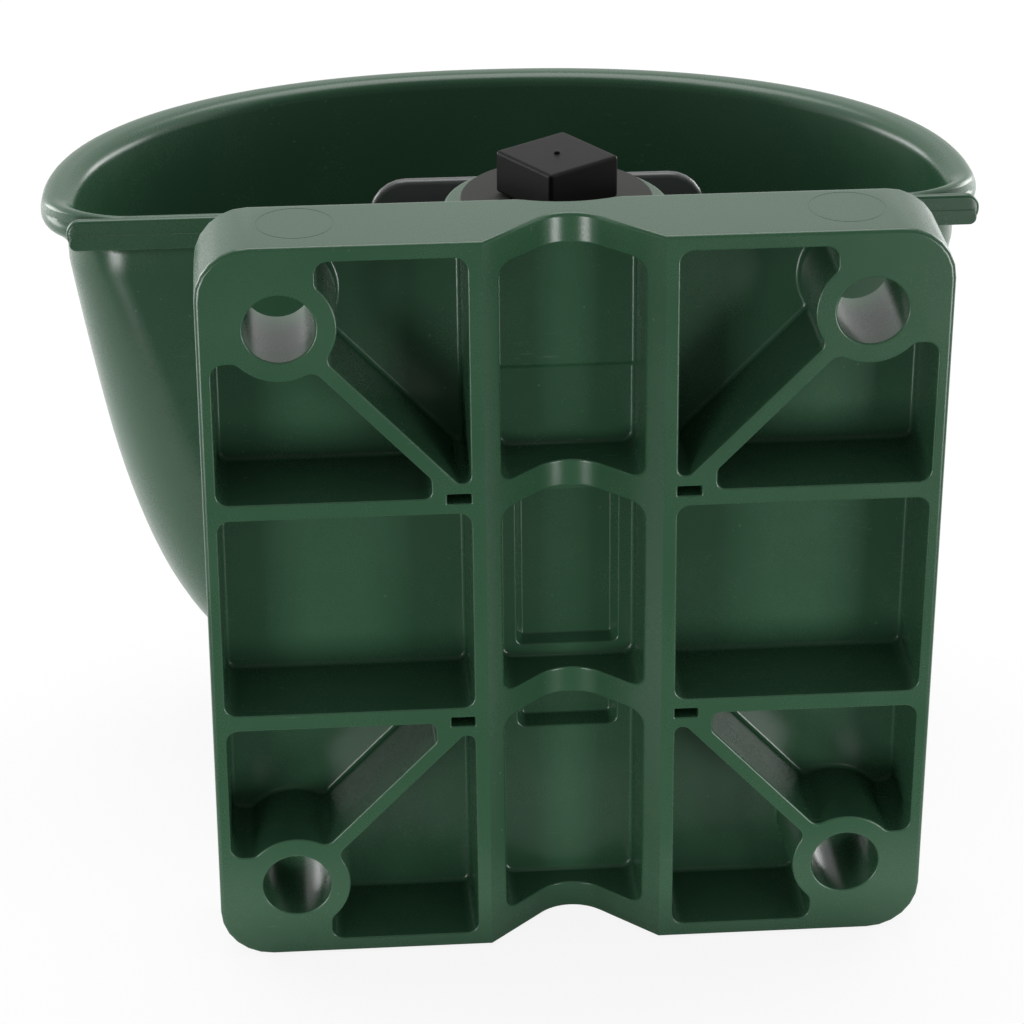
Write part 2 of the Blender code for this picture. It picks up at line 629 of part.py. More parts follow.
def valve(brass, rubber, steel, stem_pivot):
    """Make the cartridge, its seat and its moving stem."""
    gasket_face = PAD_FACE + GAP
    hex_face = gasket_face + GASKET_THICKNESS + GAP
    nose = hex_face + HEX_THICKNESS
    rear = nose - HEX_THICKNESS - BARREL_LENGTH
    radius = HEX_FLATS / 2 / math.cos(math.pi / HEX_SIDES)
    place("valve_gasket", ring(0, VALVE_Z, HEX_FLATS / 2, BARREL_RADIUS + GAP, gasket_face,
                               gasket_face + GASKET_THICKNESS), rubber)
    body = place("valve_body", rod(0, VALVE_Z, radius, hex_face, nose, HEX_SIDES), brass)
    barrel = rod(0, VALVE_Z, BARREL_RADIUS, rear, nose - HEX_THICKNESS / 2, BORE_SIDES)
    combine(body, "barrel", barrel, "UNION")
    outlet_end = nose - NOSE_THICKNESS
    seat_face = outlet_end - OUTLET_CHAMBER_LENGTH
    chamber = rod(0, VALVE_Z, CHAMBER_RADIUS, rear - OUTSIDE, seat_face, BORE_SIDES)
    combine(body, "chamber", chamber, "DIFFERENCE")
    outlet = rod(0, VALVE_Z, OUTLET_CHAMBER_RADIUS, seat_face - OUTSIDE, outlet_end, BORE_SIDES)
    combine(body, "outlet", outlet, "DIFFERENCE")
    holes = rod(0, VALVE_Z, STEM_RADIUS + GAP, outlet_end - OUTSIDE, nose + OUTSIDE)
    for index in range(OUTLETS):
        angle = math.tau * (index + 0.5) / OUTLETS
        rod(OUTLET_RING * math.cos(angle), VALVE_Z + OUTLET_RING * math.sin(angle), OUTLET_RADIUS,
            outlet_end - OUTSIDE, nose + OUTSIDE, SMALL_SIDES // 2, holes)
    combine(body, "holes", holes, "DIFFERENCE")
    seat_front = seat_face - GAP
    seat_back = seat_front - SEAT_THICKNESS
    place("valve_seat", ring(0, VALVE_Z, CHAMBER_RADIUS - GAP, SEAT_BORE, seat_back, seat_front), brass)
    disc_front = seat_back - GAP
    disc_back = disc_front - DISC_THICKNESS
    disc = ring(0, VALVE_Z, DISC_RADIUS, STEM_RADIUS + GAP, disc_back, disc_front)
    place("seal_disc", disc, rubber, stem_pivot)
    retainer_front = disc_back - GAP
    retainer_back = retainer_front - RETAINER_THICKNESS
    retainer = ring(0, VALVE_Z, RETAINER_RADIUS, STEM_RADIUS + GAP, retainer_back, retainer_front)
    place("disc_retainer", retainer, steel, stem_pivot)
    tip = PIN_DEPTH + TONGUE_FROM_PIN - GAP
    stem = place("valve_stem", rod(0, VALVE_Z, STEM_RADIUS, retainer_back - GAP, tip), steel, stem_pivot)
    shoulder = rod(0, VALVE_Z, STEM_SHOULDER_RADIUS, disc_front + GAP, disc_front + GAP + STEM_SHOULDER)
    combine(stem, "shoulder", shoulder, "UNION")
    cap_back = rear + GAP
    cap_front = cap_back + CAP_THICKNESS
    place("spring_cap", ring(0, VALVE_Z, CHAMBER_RADIUS - GAP, CAP_BORE, cap_back, cap_front), steel)
    return_spring(cap_front + GAP, disc_back - GAP, steel)


def return_spring(start, end, surface):
    """Wind the spring between its cap and the disc."""
    wire = SPRING_WIRE / 2
    count = round(SPRING_TURNS * SPRING_STEPS)
    curve = bpy.data.curves.new("return_spring", "CURVE")
    curve.dimensions = "3D"
    curve.bevel_depth = wire
    curve.bevel_resolution = 1
    curve.use_fill_caps = True
    line = curve.splines.new("POLY")
    line.points.add(count)
    for index, point in enumerate(line.points):
        angle = math.tau * SPRING_TURNS * index / count
        depth = start + wire + (end - start - SPRING_WIRE) * index / count
        point.co = (SPRING_RADIUS * math.cos(angle), -depth, VALVE_Z + SPRING_RADIUS * math.sin(angle), 1)
    curve.materials.append(surface)
    item = bpy.data.objects.new("return_spring", curve)
    bpy.context.scene.collection.objects.link(item)


def inlet_strainer(surface):
    """Make the perforated disc in the lower pipe connection."""
    top = TUBE_BOTTOM + THREAD_LENGTH - GAP
    item = place("inlet_strainer", upright(0, TUBE_DEPTH, circle(THREAD_RADIUS - GAP, BORE_SIDES),
                                           top - STRAINER_THICKNESS, top), surface)
    holes = upright(0, TUBE_DEPTH, circle(STRAINER_HOLE, SMALL_SIDES // 2), top - OUTSIDE, top + OUTSIDE)
    for index in range(STRAINER_HOLES):
        angle = math.tau * index / STRAINER_HOLES
        upright(STRAINER_RING * math.cos(angle), TUBE_DEPTH + STRAINER_RING * math.sin(angle),
                circle(STRAINER_HOLE, SMALL_SIDES // 2), top - OUTSIDE, top + OUTSIDE, holes)
    combine(item, "holes", holes, "DIFFERENCE")


def flow_screw(steel, rubber, screw_pivot):
    """Make the slotted screw that throttles the tube, and its ring."""
    seal = PAD_FACE + GAP
    head = seal + FLOW_SEAL + GAP
    washer = ring(0, FLOW_Z, FLOW_HEAD_RADIUS - GAP, FLOW_RADIUS + GAP, seal, seal + FLOW_SEAL)
    place("flow_screw_seal", washer, rubber)
    shank = rod(0, FLOW_Z, FLOW_RADIUS, head - FLOW_REACH, head + FLOW_HEAD / 2)
    item = place("flow_screw", shank, steel, screw_pivot)
    combine(item, "head", rod(0, FLOW_Z, FLOW_HEAD_RADIUS, head, head + FLOW_HEAD, BORE_SIDES), "UNION")
    slot_reach = FLOW_HEAD_RADIUS + OUTSIDE
    slot = box((-FLOW_SLOT / 2, head + FLOW_HEAD - FLOW_SLOT_DEPTH, FLOW_Z - slot_reach),
               (FLOW_SLOT / 2, head + FLOW_HEAD + OUTSIDE, FLOW_Z + slot_reach))
    combine(item, "slot", slot, "DIFFERENCE")


def hinge(steel):
    """Make the bracket, its screws, the pin and its clips."""
    sheet = PAD_FACE + GAP
    front = sheet + BRACKET_SHEET
    low_z = PIN_Z - BRACKET_BELOW_PIN
    ear_low = PIN_Z - EAR_BELOW_PIN
    outer = BRACKET_EAR + BRACKET_SHEET
    strap = box((-outer, sheet, low_z), (outer, front, low_z + BRACKET_HEIGHT))
    bracket = place("hinge_bracket", strap, steel)
    holes = bmesh.new()
    for side, name in ((1, "left"), (-1, "right")):
        low = min(side * BRACKET_EAR, side * outer)
        ear = box((low, sheet + BRACKET_SHEET / 2, ear_low),
                  (low + BRACKET_SHEET, PIN_DEPTH + EAR_PAST_PIN, low_z + BRACKET_HEIGHT / 2))
        combine(bracket, f"ear_{name}", ear, "UNION")
        x = side * SCREW_SPREAD
        rod(x, SCREW_Z, SCREW_RADIUS + GAP, sheet - OUTSIDE, front + OUTSIDE, SMALL_SIDES, holes)
        head = front + GAP
        shank = rod(x, SCREW_Z, SCREW_RADIUS, PAD_FACE - SCREW_LENGTH + 2 * GAP, head + SCREW_HEAD / 2)
        screw = place(f"bracket_screw_{name}", shank, steel)
        combine(screw, "head", rod(x, SCREW_Z, SCREW_HEAD_RADIUS, head, head + SCREW_HEAD), "UNION")
        clip_start = outer + GAP if side > 0 else -outer - GAP - CLIP_THICKNESS
        clip_end = clip_start + CLIP_THICKNESS
        disc = cross_rod(PIN_DEPTH, PIN_Z, CLIP_RADIUS, clip_start, clip_end)
        clip = place(f"pin_clip_{name}", disc, steel)
        eye = cross_rod(PIN_DEPTH, PIN_Z, PIN_RADIUS + GAP, clip_start - OUTSIDE, clip_end + OUTSIDE)
        combine(clip, "eye", eye, "DIFFERENCE")
    combine(bracket, "screw_holes", holes, "DIFFERENCE")
    pin_hole = cross_rod(PIN_DEPTH, PIN_Z, PIN_RADIUS + GAP, -outer - OUTSIDE, outer + OUTSIDE)
    combine(bracket, "pin_hole", pin_hole, "DIFFERENCE")
    reach = outer + PIN_OVERHANG
    place("hinge_pin", cross_rod(PIN_DEPTH, PIN_Z, PIN_RADIUS, -reach, reach), steel)


def tongue_path(distance):
    """Return the depth, height and lean of the tongue's rear face, this far down from its top edge."""
    straight = TONGUE_ABOVE_PIN + TONGUE_BELOW_PIN
    depth = PIN_DEPTH + TONGUE_FROM_PIN
    top = PIN_Z + TONGUE_ABOVE_PIN
    if distance <= straight:
        return depth, top - distance, 0.0
    lean = min((distance - straight) / TONGUE_BEND_RADIUS, TONGUE_BEND)
    depth += TONGUE_BEND_RADIUS * (1 - math.cos(lean))
    height = top - straight - TONGUE_BEND_RADIUS * math.sin(lean)
    past = max(distance - straight - TONGUE_BEND_RADIUS * TONGUE_BEND, 0.0)
    return depth + past * math.sin(lean), height - past * math.cos(lean), lean


def tongue(surface, hinge_pivot):
    """Make the nose lever: an upright shield that bends forward into a paddle."""
    length = TONGUE_ABOVE_PIN + TONGUE_BELOW_PIN + TONGUE_BEND_RADIUS * TONGUE_BEND + TONGUE_PADDLE
    turns = [math.pi / 2 * step / TONGUE_CORNER_STEPS for step in range(TONGUE_CORNER_STEPS + 1)]
    stops = [TONGUE_CORNER * (1 - math.cos(turn)) for turn in turns]
    body = length - TONGUE_CORNER - TONGUE_END_CORNER
    stops += [TONGUE_CORNER + body * step / TONGUE_STEPS for step in range(1, TONGUE_STEPS)]
    stops += [length - TONGUE_END_CORNER * (1 - math.sin(turn)) for turn in turns]
    rings = []
    for distance in stops:
        share = max(distance - TONGUE_ABOVE_PIN, 0) / (length - TONGUE_ABOVE_PIN)
        half = (TONGUE_WIDTH + (TONGUE_END_WIDTH - TONGUE_WIDTH) * share) / 2
        short = max(TONGUE_CORNER - distance, 0)
        half -= TONGUE_CORNER - math.sqrt(TONGUE_CORNER ** 2 - short ** 2)
        short = max(distance - length + TONGUE_END_CORNER, 0)
        half -= TONGUE_END_CORNER - math.sqrt(max(TONGUE_END_CORNER ** 2 - short ** 2, 0))
        depth, z, lean = tongue_path(distance)
        front_depth = depth + TONGUE_THICKNESS * math.cos(lean)
        front_z = z + TONGUE_THICKNESS * math.sin(lean)
        rings.append([(half, -depth, z), (-half, -depth, z),
                      (-half, -front_depth, front_z), (half, -front_depth, front_z)])
    item = place("tongue", loft(rings), surface, hinge_pivot)
    eyes = bmesh.new()
    for side, name in ((1, "left"), (-1, "right")):
        start = min(side * KNUCKLE_INNER, side * (KNUCKLE_INNER + KNUCKLE_LENGTH))
        end = start + KNUCKLE_LENGTH
        knuckle = cross_rod(PIN_DEPTH, PIN_Z, KNUCKLE_RADIUS, start, end)
        combine(item, f"knuckle_{name}", knuckle, "UNION")
        shield = PIN_DEPTH + TONGUE_FROM_PIN + TONGUE_THICKNESS / 2
        arm = box((start, PIN_DEPTH, PIN_Z - KNUCKLE_ARM / 2), (end, shield, PIN_Z + KNUCKLE_ARM / 2))
        combine(item, f"arm_{name}", arm, "UNION")
        cross_rod(PIN_DEPTH, PIN_Z, PIN_RADIUS + GAP, start - OUTSIDE, end + OUTSIDE, shape=eyes)
    combine(item, "eyes", eyes, "DIFFERENCE")


def main():
    """Build every piece."""
    clear_scene()
    green = material("moulded_green", (0.032, 0.085, 0.048), 0.34)
    black = material("moulded_black", (0.012, 0.013, 0.013), 0.42)
    grey = material("washer_grey", (0.07, 0.075, 0.068), 0.6)
    rubber = material("black_rubber", (0.02, 0.02, 0.02), 0.8)
    brass = material("brass", (0.78, 0.57, 0.25), 0.3, 1.0)
    steel = material("stainless", (0.62, 0.62, 0.6), 0.28, 1.0)
    tongue_pivot = pivot("tongue_pivot", (0, -PIN_DEPTH, PIN_Z))
    stem_pivot = pivot("stem_pivot", (0, -PAD_FACE, VALVE_Z))
    flow_pivot = pivot("flow_pivot", (0, -PAD_FACE, FLOW_Z))
    back_plate(green)
    bowl(green)
    plug(black, grey)
    valve(brass, rubber, steel, stem_pivot)
    inlet_strainer(steel)
    flow_screw(steel, rubber, flow_pivot)
    hinge(steel)
    tongue(black, tongue_pivot)


main()
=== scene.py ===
# %% [markdown]
# # A wall-hung drinking bowl, seen from the wall side
#
# The bowl hangs on a stable wall by a ribbed plate. Animals press a black tongue in the basin and a small
# valve lets water in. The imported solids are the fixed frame: they carry the sizes and the joints, and
# this script gives each piece the skin, the rounded edges and the finish of the real mouldings. Lengths
# are metres, +Z is up, the wall is on the +Y side, and a distance out from the wall is called depth and
# lies at y = -depth.

# %% Load the frame
import json
import math

import bmesh
import bpy
from mathutils import Matrix, Vector


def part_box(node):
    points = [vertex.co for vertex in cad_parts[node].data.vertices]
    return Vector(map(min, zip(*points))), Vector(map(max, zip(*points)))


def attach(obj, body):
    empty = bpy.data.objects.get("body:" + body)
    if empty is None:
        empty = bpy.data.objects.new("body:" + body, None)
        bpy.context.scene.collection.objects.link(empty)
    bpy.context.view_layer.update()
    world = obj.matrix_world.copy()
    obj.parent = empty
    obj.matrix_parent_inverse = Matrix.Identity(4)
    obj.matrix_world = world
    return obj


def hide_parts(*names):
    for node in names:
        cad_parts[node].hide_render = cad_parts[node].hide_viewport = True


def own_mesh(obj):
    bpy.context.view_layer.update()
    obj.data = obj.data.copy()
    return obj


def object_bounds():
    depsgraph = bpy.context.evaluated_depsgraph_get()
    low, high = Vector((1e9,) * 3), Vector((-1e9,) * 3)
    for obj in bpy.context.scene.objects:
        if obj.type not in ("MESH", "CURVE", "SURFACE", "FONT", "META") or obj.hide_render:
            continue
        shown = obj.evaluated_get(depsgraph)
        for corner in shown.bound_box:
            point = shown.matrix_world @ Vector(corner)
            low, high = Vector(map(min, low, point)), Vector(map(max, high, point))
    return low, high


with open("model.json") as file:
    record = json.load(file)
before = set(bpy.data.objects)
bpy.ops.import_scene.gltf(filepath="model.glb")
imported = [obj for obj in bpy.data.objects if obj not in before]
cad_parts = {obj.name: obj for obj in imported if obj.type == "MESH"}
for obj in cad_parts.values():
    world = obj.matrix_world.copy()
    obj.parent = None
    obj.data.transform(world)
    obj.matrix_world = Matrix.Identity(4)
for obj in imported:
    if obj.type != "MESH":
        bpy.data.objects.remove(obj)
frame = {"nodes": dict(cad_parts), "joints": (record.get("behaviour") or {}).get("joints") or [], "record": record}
cad_low, cad_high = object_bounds()
print("CAD box", [round(value, 4) for value in (*cad_low, *cad_high)])

# %% [markdown]
# ## Shader sums
#
# A finish needs some arithmetic on textures. Wiring Math nodes by hand hides the thought behind them, so
# one small class wraps a socket: sums on it add the Math nodes, and its node method adds any other node.


# %% A socket that can be used in sums
class Wire:
    """An output socket of a node tree."""

    def __init__(self, tree, socket=None):
        self.tree = tree
        self.socket = socket

    def node(self, kind, settings=None, inputs=None, output=0):
        """Add a node, set it up, feed its sockets and return one of its outputs."""
        made = self.tree.nodes.new(kind)
        for key, value in (settings or {}).items():
            setattr(made, key, value)
        for key, value in (inputs or {}).items():
            if isinstance(value, Wire):
                self.tree.links.new(value.socket, made.inputs[key])
            else:
                made.inputs[key].default_value = value
        return Wire(self.tree, made.outputs[output])

    def sum(self, operation, first, second):
        return self.node("ShaderNodeMath", {"operation": operation}, {0: first, 1: second})

    def __add__(self, other):
        return self.sum("ADD", self, other)

    def __radd__(self, other):
        return self.sum("ADD", other, self)

    def __sub__(self, other):
        return self.sum("SUBTRACT", self, other)

    def __rsub__(self, other):
        return self.sum("SUBTRACT", other, self)

    def __mul__(self, other):
        return self.sum("MULTIPLY", self, other)

    def __rmul__(self, other):
        return self.sum("MULTIPLY", other, self)


# %% [markdown]
# ## Finishes
#
# Moulded plastic is never one flat colour. Close up it has a fine spark texture from the mould, faint
# flow clouds where the melt ran, and short scuffs that are a little paler and rougher. Each finish reads
# Object coordinates, so that the grain keeps its real size on every piece.


# %% Helpers for the finishes
def new_finish(name, **constants):
    """Start a material and return it with its shader and its object coordinates."""
    material = bpy.data.materials.new(name)
    material.use_nodes = True
    shader = material.node_tree.nodes["Principled BSDF"]
    for socket, value in constants.items():
        shader.inputs[socket.replace("_", " ")].default_value = value
    place = Wire(material.node_tree).node("ShaderNodeTexCoord", output="Object")
    return material, shader, place


def noise(place, scale, detail=3.0, stretch=(1, 1, 1)):
    """Return a cloudy value from 0 to 1, with a size of about 1 / scale metres."""
    mapped = place.node("ShaderNodeMapping", inputs={"Vector": place, "Scale": stretch})
    return place.node("ShaderNodeTexNoise", inputs={"Vector": mapped, "Scale": scale, "Detail": detail})


def ramp(value, low, high):
    """Return 0 below low, 1 above high and a straight rise between."""
    return value.node("ShaderNodeMapRange", inputs={0: value, 1: low, 2: high})


def blend(factor, first, second):
    """Return a mix of two colours."""
    return factor.node("ShaderNodeMix", {"data_type": "RGBA"}, {0: factor, 6: first, 7: second}, 2)


def connect(shader, socket, wire):
    """Feed one of the shader's sockets."""
    wire.tree.links.new(wire.socket, shader.inputs[socket])


def bump(height, strength, distance):
    """Return a normal from a height."""
    return height.node("ShaderNodeBump", inputs={"Height": height, "Strength": strength, "Distance": distance})


# %% Moulded plastics
def moulded(name, colour, pale, roughness, scuff_colour, sheen=0.5):
    """Semi-gloss moulding with flow clouds, short scuffs and a fine spark texture."""
    material, shader, place = new_finish(name, IOR=1.5, Specular_IOR_Level=sheen)
    clouds = noise(place, 38.0, 4.0)
    flow = noise(place, 12.0, 2.0, (1.0, 0.4, 3.0))
    tint = blend(ramp(clouds * 0.6 + flow * 0.4, 0.35, 0.68), colour, pale)
    scratches = ramp(noise(place, 1500.0, 3.0, (0.10, 1.0, 1.0)), 0.64, 0.70)
    patches = ramp(noise(place, 60.0, 3.0), 0.56, 0.68)
    specks = ramp(noise(place, 700.0, 2.0), 0.74, 0.78)
    scuffs = scratches * patches * 0.5 + specks
    connect(shader, "Base Color", blend(scuffs * 0.4, tint, scuff_colour))
    spark = noise(place, 2600.0, 2.0)
    connect(shader, "Roughness", roughness + (clouds - 0.5) * 0.12 + scuffs * 0.18 + (spark - 0.5) * 0.06)
    connect(shader, "Normal", bump(spark * 0.7 + clouds * 0.3, 0.1, 0.00012))
    return material


GREEN = moulded("moulded_green", (0.024, 0.074, 0.037, 1), (0.029, 0.083, 0.043, 1), 0.27,
                (0.11, 0.19, 0.13, 1))
BLACK = moulded("moulded_black", (0.004, 0.004, 0.0035, 1), (0.008, 0.008, 0.007, 1), 0.42,
                (0.03, 0.03, 0.03, 1), 0.10)
DARK_GREY = moulded("tongue_grey", (0.058, 0.061, 0.061, 1), (0.070, 0.073, 0.073, 1), 0.32,
                    (0.10, 0.10, 0.10, 1))
print("moulded finishes:", GREEN.name, BLACK.name)


# %% [markdown]
# Rubber is duller and blotchy with talc. Brass and stainless steel carry the turning or rolling lines of their
# making, and both are darker in a few stained patches.


# %% Rubber and metals
def rubber(name, colour, bloom):
    """Dull rubber with a dusty bloom."""
    material, shader, place = new_finish(name, IOR=1.5, Specular_IOR_Level=0.25)
    dust = ramp(noise(place, 90.0, 5.0), 0.4, 0.75)
    speckle = noise(place, 900.0, 3.0)
    connect(shader, "Base Color", blend(dust, colour, bloom))
    connect(shader, "Roughness", 0.62 + dust * 0.2)
    connect(shader, "Normal", bump(speckle, 0.25, 0.0001))
    return material


def metal(name, colour, stain, roughness, stretch):
    """Worked metal with fine tool lines and a few stains."""
    material, shader, place = new_finish(name, Metallic=1.0)
    lines = noise(place, 900.0, 3.0, stretch)
    stains = ramp(noise(place, 120.0, 4.0), 0.5, 0.72)
    connect(shader, "Base Color", blend(stains * 0.6, colour, stain))
    connect(shader, "Roughness", roughness + lines * 0.14 + stains * 0.12)
    connect(shader, "Normal", bump(lines, 0.12, 0.00008))
    return material


WASHER = rubber("washer_grey", (0.020, 0.021, 0.018, 1), (0.040, 0.041, 0.036, 1))
RUBBER = rubber("black_rubber", (0.012, 0.012, 0.012, 1), (0.03, 0.03, 0.03, 1))
BRASS = metal("brass", (0.78, 0.56, 0.24, 1), (0.50, 0.34, 0.14, 1), 0.24, (1.0, 0.06, 1.0))
STEEL = metal("stainless", (0.60, 0.60, 0.58, 1), (0.42, 0.42, 0.41, 1), 0.22, (0.06, 1.0, 1.0))
print("other finishes:", WASHER.name, RUBBER.name, BRASS.name, STEEL.name)


# %% [markdown]
# ## Modelling helpers
#
# Most pieces are flat outlines that were pulled to a depth and rounded. An outline's corners are rounded
# by bevelling its vertices, and a rounded edge is a short row of insets, each a little further in and a
# little further down. That keeps every wall a clean strip of four-sided faces, which shade smoothly.


# %% Outlines and profiles
ARC_STEPS = 6
EDGE_STEPS = 4


def rounded(corners, steps=ARC_STEPS):
    """Round the corners (x, z, radius) of a flat outline and return its points in order."""
    blank = bmesh.new()
    verts = [blank.verts.new((x, 0, z)) for x, z, radius in corners]
    blank.faces.new(verts)
    for vert, (x, z, radius) in zip(verts, corners):
        if radius:
            first, second = [edge.other_vert(vert).co - vert.co for edge in vert.link_edges]
            reach = radius / math.tan(first.angle(second) / 2)
            bmesh.ops.bevel(blank, geom=[vert], offset=reach, segments=steps, profile=0.5, affect="VERTICES",
                            material=-1)
    blank.faces.ensure_lookup_table()
    points = [(vert.co.x, vert.co.z) for vert in blank.faces[0].verts]
    blank.free()
    return points


def block(half_width, bottom, top, radius, centre=0.0):
    """Return the outline of a rectangle with rounded corners."""
    return rounded([(centre - half_width, bottom, radius), (centre + half_width, bottom, radius),
                    (centre + half_width, top, radius), (centre - half_width, top, radius)])


def round_over(radius, steps=EDGE_STEPS):
    """Return the (inset, drop) steps that turn a flat face over an edge into a wall."""
    turns = [math.pi / 2 * step / steps for step in range(steps + 1)]
    return [(radius * (math.sin(b) - math.sin(a)), radius * (math.cos(a) - math.cos(b)))
            for a, b in zip(turns, turns[1:])]


def round_in(radius, steps=EDGE_STEPS):
    """Return the (inset, drop) steps that turn a wall into a floor."""
    turns = [math.pi / 2 * step / steps for step in range(steps + 1)]
    return [(radius * (math.cos(a) - math.cos(b)), radius * (math.sin(b) - math.sin(a)))
            for a, b in zip(turns, turns[1:])]


def sink(shape, faces, profile):
    """Step flat faces in and down along a profile. A negative drop raises them."""
    for inset, drop in profile:
        bmesh.ops.inset_region(shape, faces=faces, thickness=inset, depth=-drop, use_boundary=True,
                               use_even_offset=True)


def draw(shape, face, outlines):
    """Draw outlines in a flat upright face and return their faces."""
    y = face.verts[0].co.y
    edges = list(face.edges)
    bmesh.ops.delete(shape, geom=[face], context="FACES_ONLY")
    rims = []
    for outline in outlines:
        verts = [shape.verts.new((x, y, z)) for x, z in outline]
        edges += [shape.edges.new((verts[i - 1], verts[i])) for i in range(len(verts))]
        rims.append(verts)
    bmesh.ops.triangle_fill(shape, use_beauty=True, edges=edges)
    faces = [shape.faces.new(verts) for verts in rims]
    bmesh.ops.recalc_face_normals(shape, faces=shape.faces)
    return faces


def slab(shape, outline, start, end):
    """Pull an outline from one depth to another and return its rear and front faces."""
    face = shape.faces.new([shape.verts.new((x, -end, z)) for x, z in outline])
    pulled = bmesh.ops.extrude_face_region(shape, geom=[face])["geom"]
    moved = [item for item in pulled if isinstance(item, bmesh.types.BMVert)]
    rear = next(item for item in pulled if isinstance(item, bmesh.types.BMFace))
    bmesh.ops.translate(shape, verts=moved, vec=(0, end - start, 0))
    bmesh.ops.recalc_face_normals(shape, faces=shape.faces)
    return rear, face


def tunnel(shape, rear, front):
    """Join two facing outlines into a hole."""
    edges = list(rear.edges) + list(front.edges)
    bmesh.ops.delete(shape, geom=[rear, front], context="FACES_ONLY")
    bmesh.ops.bridge_loops(shape, edges=edges)


# %% Turning a mesh into a piece
SMOOTH_ANGLE = math.radians(40)


def piece(name, shape, finish, body, slot, *nodes):
    """Make an object from a bmesh, let it ride on a body and stand for its CAD nodes."""
    bmesh.ops.connect_verts_concave(shape, faces=shape.faces)
    bmesh.ops.recalc_face_normals(shape, faces=shape.faces)
    mesh = bpy.data.meshes.new(name)
    shape.to_mesh(mesh)
    shape.free()
    mesh.materials.append(finish)
    mesh.shade_smooth()
    mesh.set_sharp_from_angle(angle=SMOOTH_ANGLE)
    item = bpy.data.objects.new(name, mesh)
    bpy.context.scene.collection.objects.link(item)
    weighted = item.modifiers.new("flat_faces_stay_flat", "WEIGHTED_NORMAL")
    weighted.keep_sharp = True
    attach(item, body)
    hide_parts(*nodes)
    print(name, len(mesh.polygons), "faces")
    return item


# %% [markdown]
# ## The wall plate
#
# The plate fills most of the picture. It is a block, hollowed from the rear so that only a skin and a net
# of ribs are left, with a boss round each screw hole, a diagonal rib from each boss to the middle, and a
# trough down the middle for a standing pipe. A Boolean could cut all this, but it leaves long thin faces
# that no bevel can round. So the pockets are drawn in the rear face and sunk by insets, which gives each
# rib its rounded edge and each pocket its draft and its filleted floor.

# %% Sizes of the wall plate
plate_low, plate_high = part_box("back_plate")
PLATE_HALF = plate_high.x
PLATE_TOP = plate_high.z
PLATE_DEPTH = -plate_low.y
PLATE_CORNER = 0.012
PLATE_EDGE = 0.0009
FRONT_EDGE = 0.0020
SIDE_BORDER = 0.003
TOP_BORDER = 0.0036
RIB = 0.004
RIB_Z = 0.0269
DIAGONAL = 0.0036
WEB_OUTER = 0.0230
HOLE_X = 0.0645
HOLE_Z = 0.071
HOLE_RADIUS = 0.0079
BOSS_RADIUS = 0.0125
BOSS_EASE = 0.0030
HOLE_FILL = 0.0080
LUG_X = 0.02565
LUG_Z = 0.0286
SLOT_HALF_X = 0.00325
SLOT_HALF_Z = 0.0017
SLOT_WALL_X = 0.0318
SLOT_WALL_Z = 0.0324
POCKET_CORNER = 0.0034
POCKET_TIP = 0.0023
POCKET_DEPTH = 0.022
POCKET_FILLET = 0.0010
POCKET_DRAFT = 0.0004
RIB_EDGE = 0.0004
FLAT_RING = 0.00015
RIM = RIB_EDGE + FLAT_RING
print("wall plate", round(2 * PLATE_HALF, 4), "wide,", round(2 * PLATE_TOP, 4), "high")


# %% Outlines of the plate's pockets
def arc(centre, radius, first, last, steps):
    """Return points on an arc as square-cornered outline points."""
    turns = [first + (last - first) * step / steps for step in range(steps + 1)]
    return [(centre[0] + radius * math.cos(turn), centre[1] + radius * math.sin(turn), 0) for turn in turns]


def swing(centre, radius, start, end, steps):
    """Return the shorter arc between two directions from its centre."""
    first = math.atan2(start.y, start.x)
    turn = math.atan2(start.x * end.y - start.y * end.x, start.dot(end))
    return arc(centre, radius, first, first + turn, steps)


def boss_edge(hole, first_line, last_line):
    """Return a boss's edge, eased into a line at each end: a line is (direction, side, distance)."""
    radius = BOSS_RADIUS - RIM
    eases = []
    for direction, side, distance in (first_line, last_line):
        away = distance + BOSS_EASE
        centre = direction * math.sqrt((radius + BOSS_EASE) ** 2 - away ** 2) + side * away
        eases.append((centre, swing(hole + centre, BOSS_EASE, -side, -centre, ARC_STEPS)))
    (first, lead_in), (last, lead_out) = eases
    return lead_in + swing(hole, radius, first, last, 2 * ARC_STEPS)[1:-1] + lead_out[::-1]


def quarter_pockets():
    """Return the two pockets beside the diagonal rib of the upper left quarter."""
    hole = Vector((HOLE_X, HOLE_Z))
    fill = HOLE_FILL - RIM
    half = DIAGONAL / 2 - RIM
    along = (Vector((WEB_OUTER, RIB_Z)) - hole).normalized()
    inward = Vector((along.y, -along.x))
    left, right = Vector((-1, 0)), Vector((1, 0))
    down, up = Vector((0, -1)), Vector((0, 1))
    web, rib = WEB_OUTER - RIM, RIB_Z + RIB / 2 - RIM
    border_x, border_z = PLATE_HALF - SIDE_BORDER + RIM, PLATE_TOP - TOP_BORDER + RIM
    tip_x, tip_z = SLOT_WALL_X - RIM, SLOT_WALL_Z - RIM
    upper = hole + inward * half
    lower = hole - inward * half
    tip_near = upper.x + (tip_z - upper.y) * along.x / along.y
    tip_far = lower.y + (tip_x - lower.x) * along.y / along.x
    inner = [(web, border_z, POCKET_CORNER), (hole.x - fill, border_z, POCKET_CORNER)]
    inner += boss_edge(hole, (up, left, fill), (along, inward, half))
    inner += [(tip_near, tip_z, POCKET_TIP), (web, tip_z, POCKET_TIP)]
    outer = [(border_x, rib, POCKET_CORNER), (border_x, hole.y - fill, POCKET_CORNER)]
    outer += boss_edge(hole, (right, down, fill), (along, -inward, half))
    outer += [(tip_x, tip_far, POCKET_TIP), (tip_x, rib, POCKET_TIP)]
    return rounded(inner), rounded(outer)


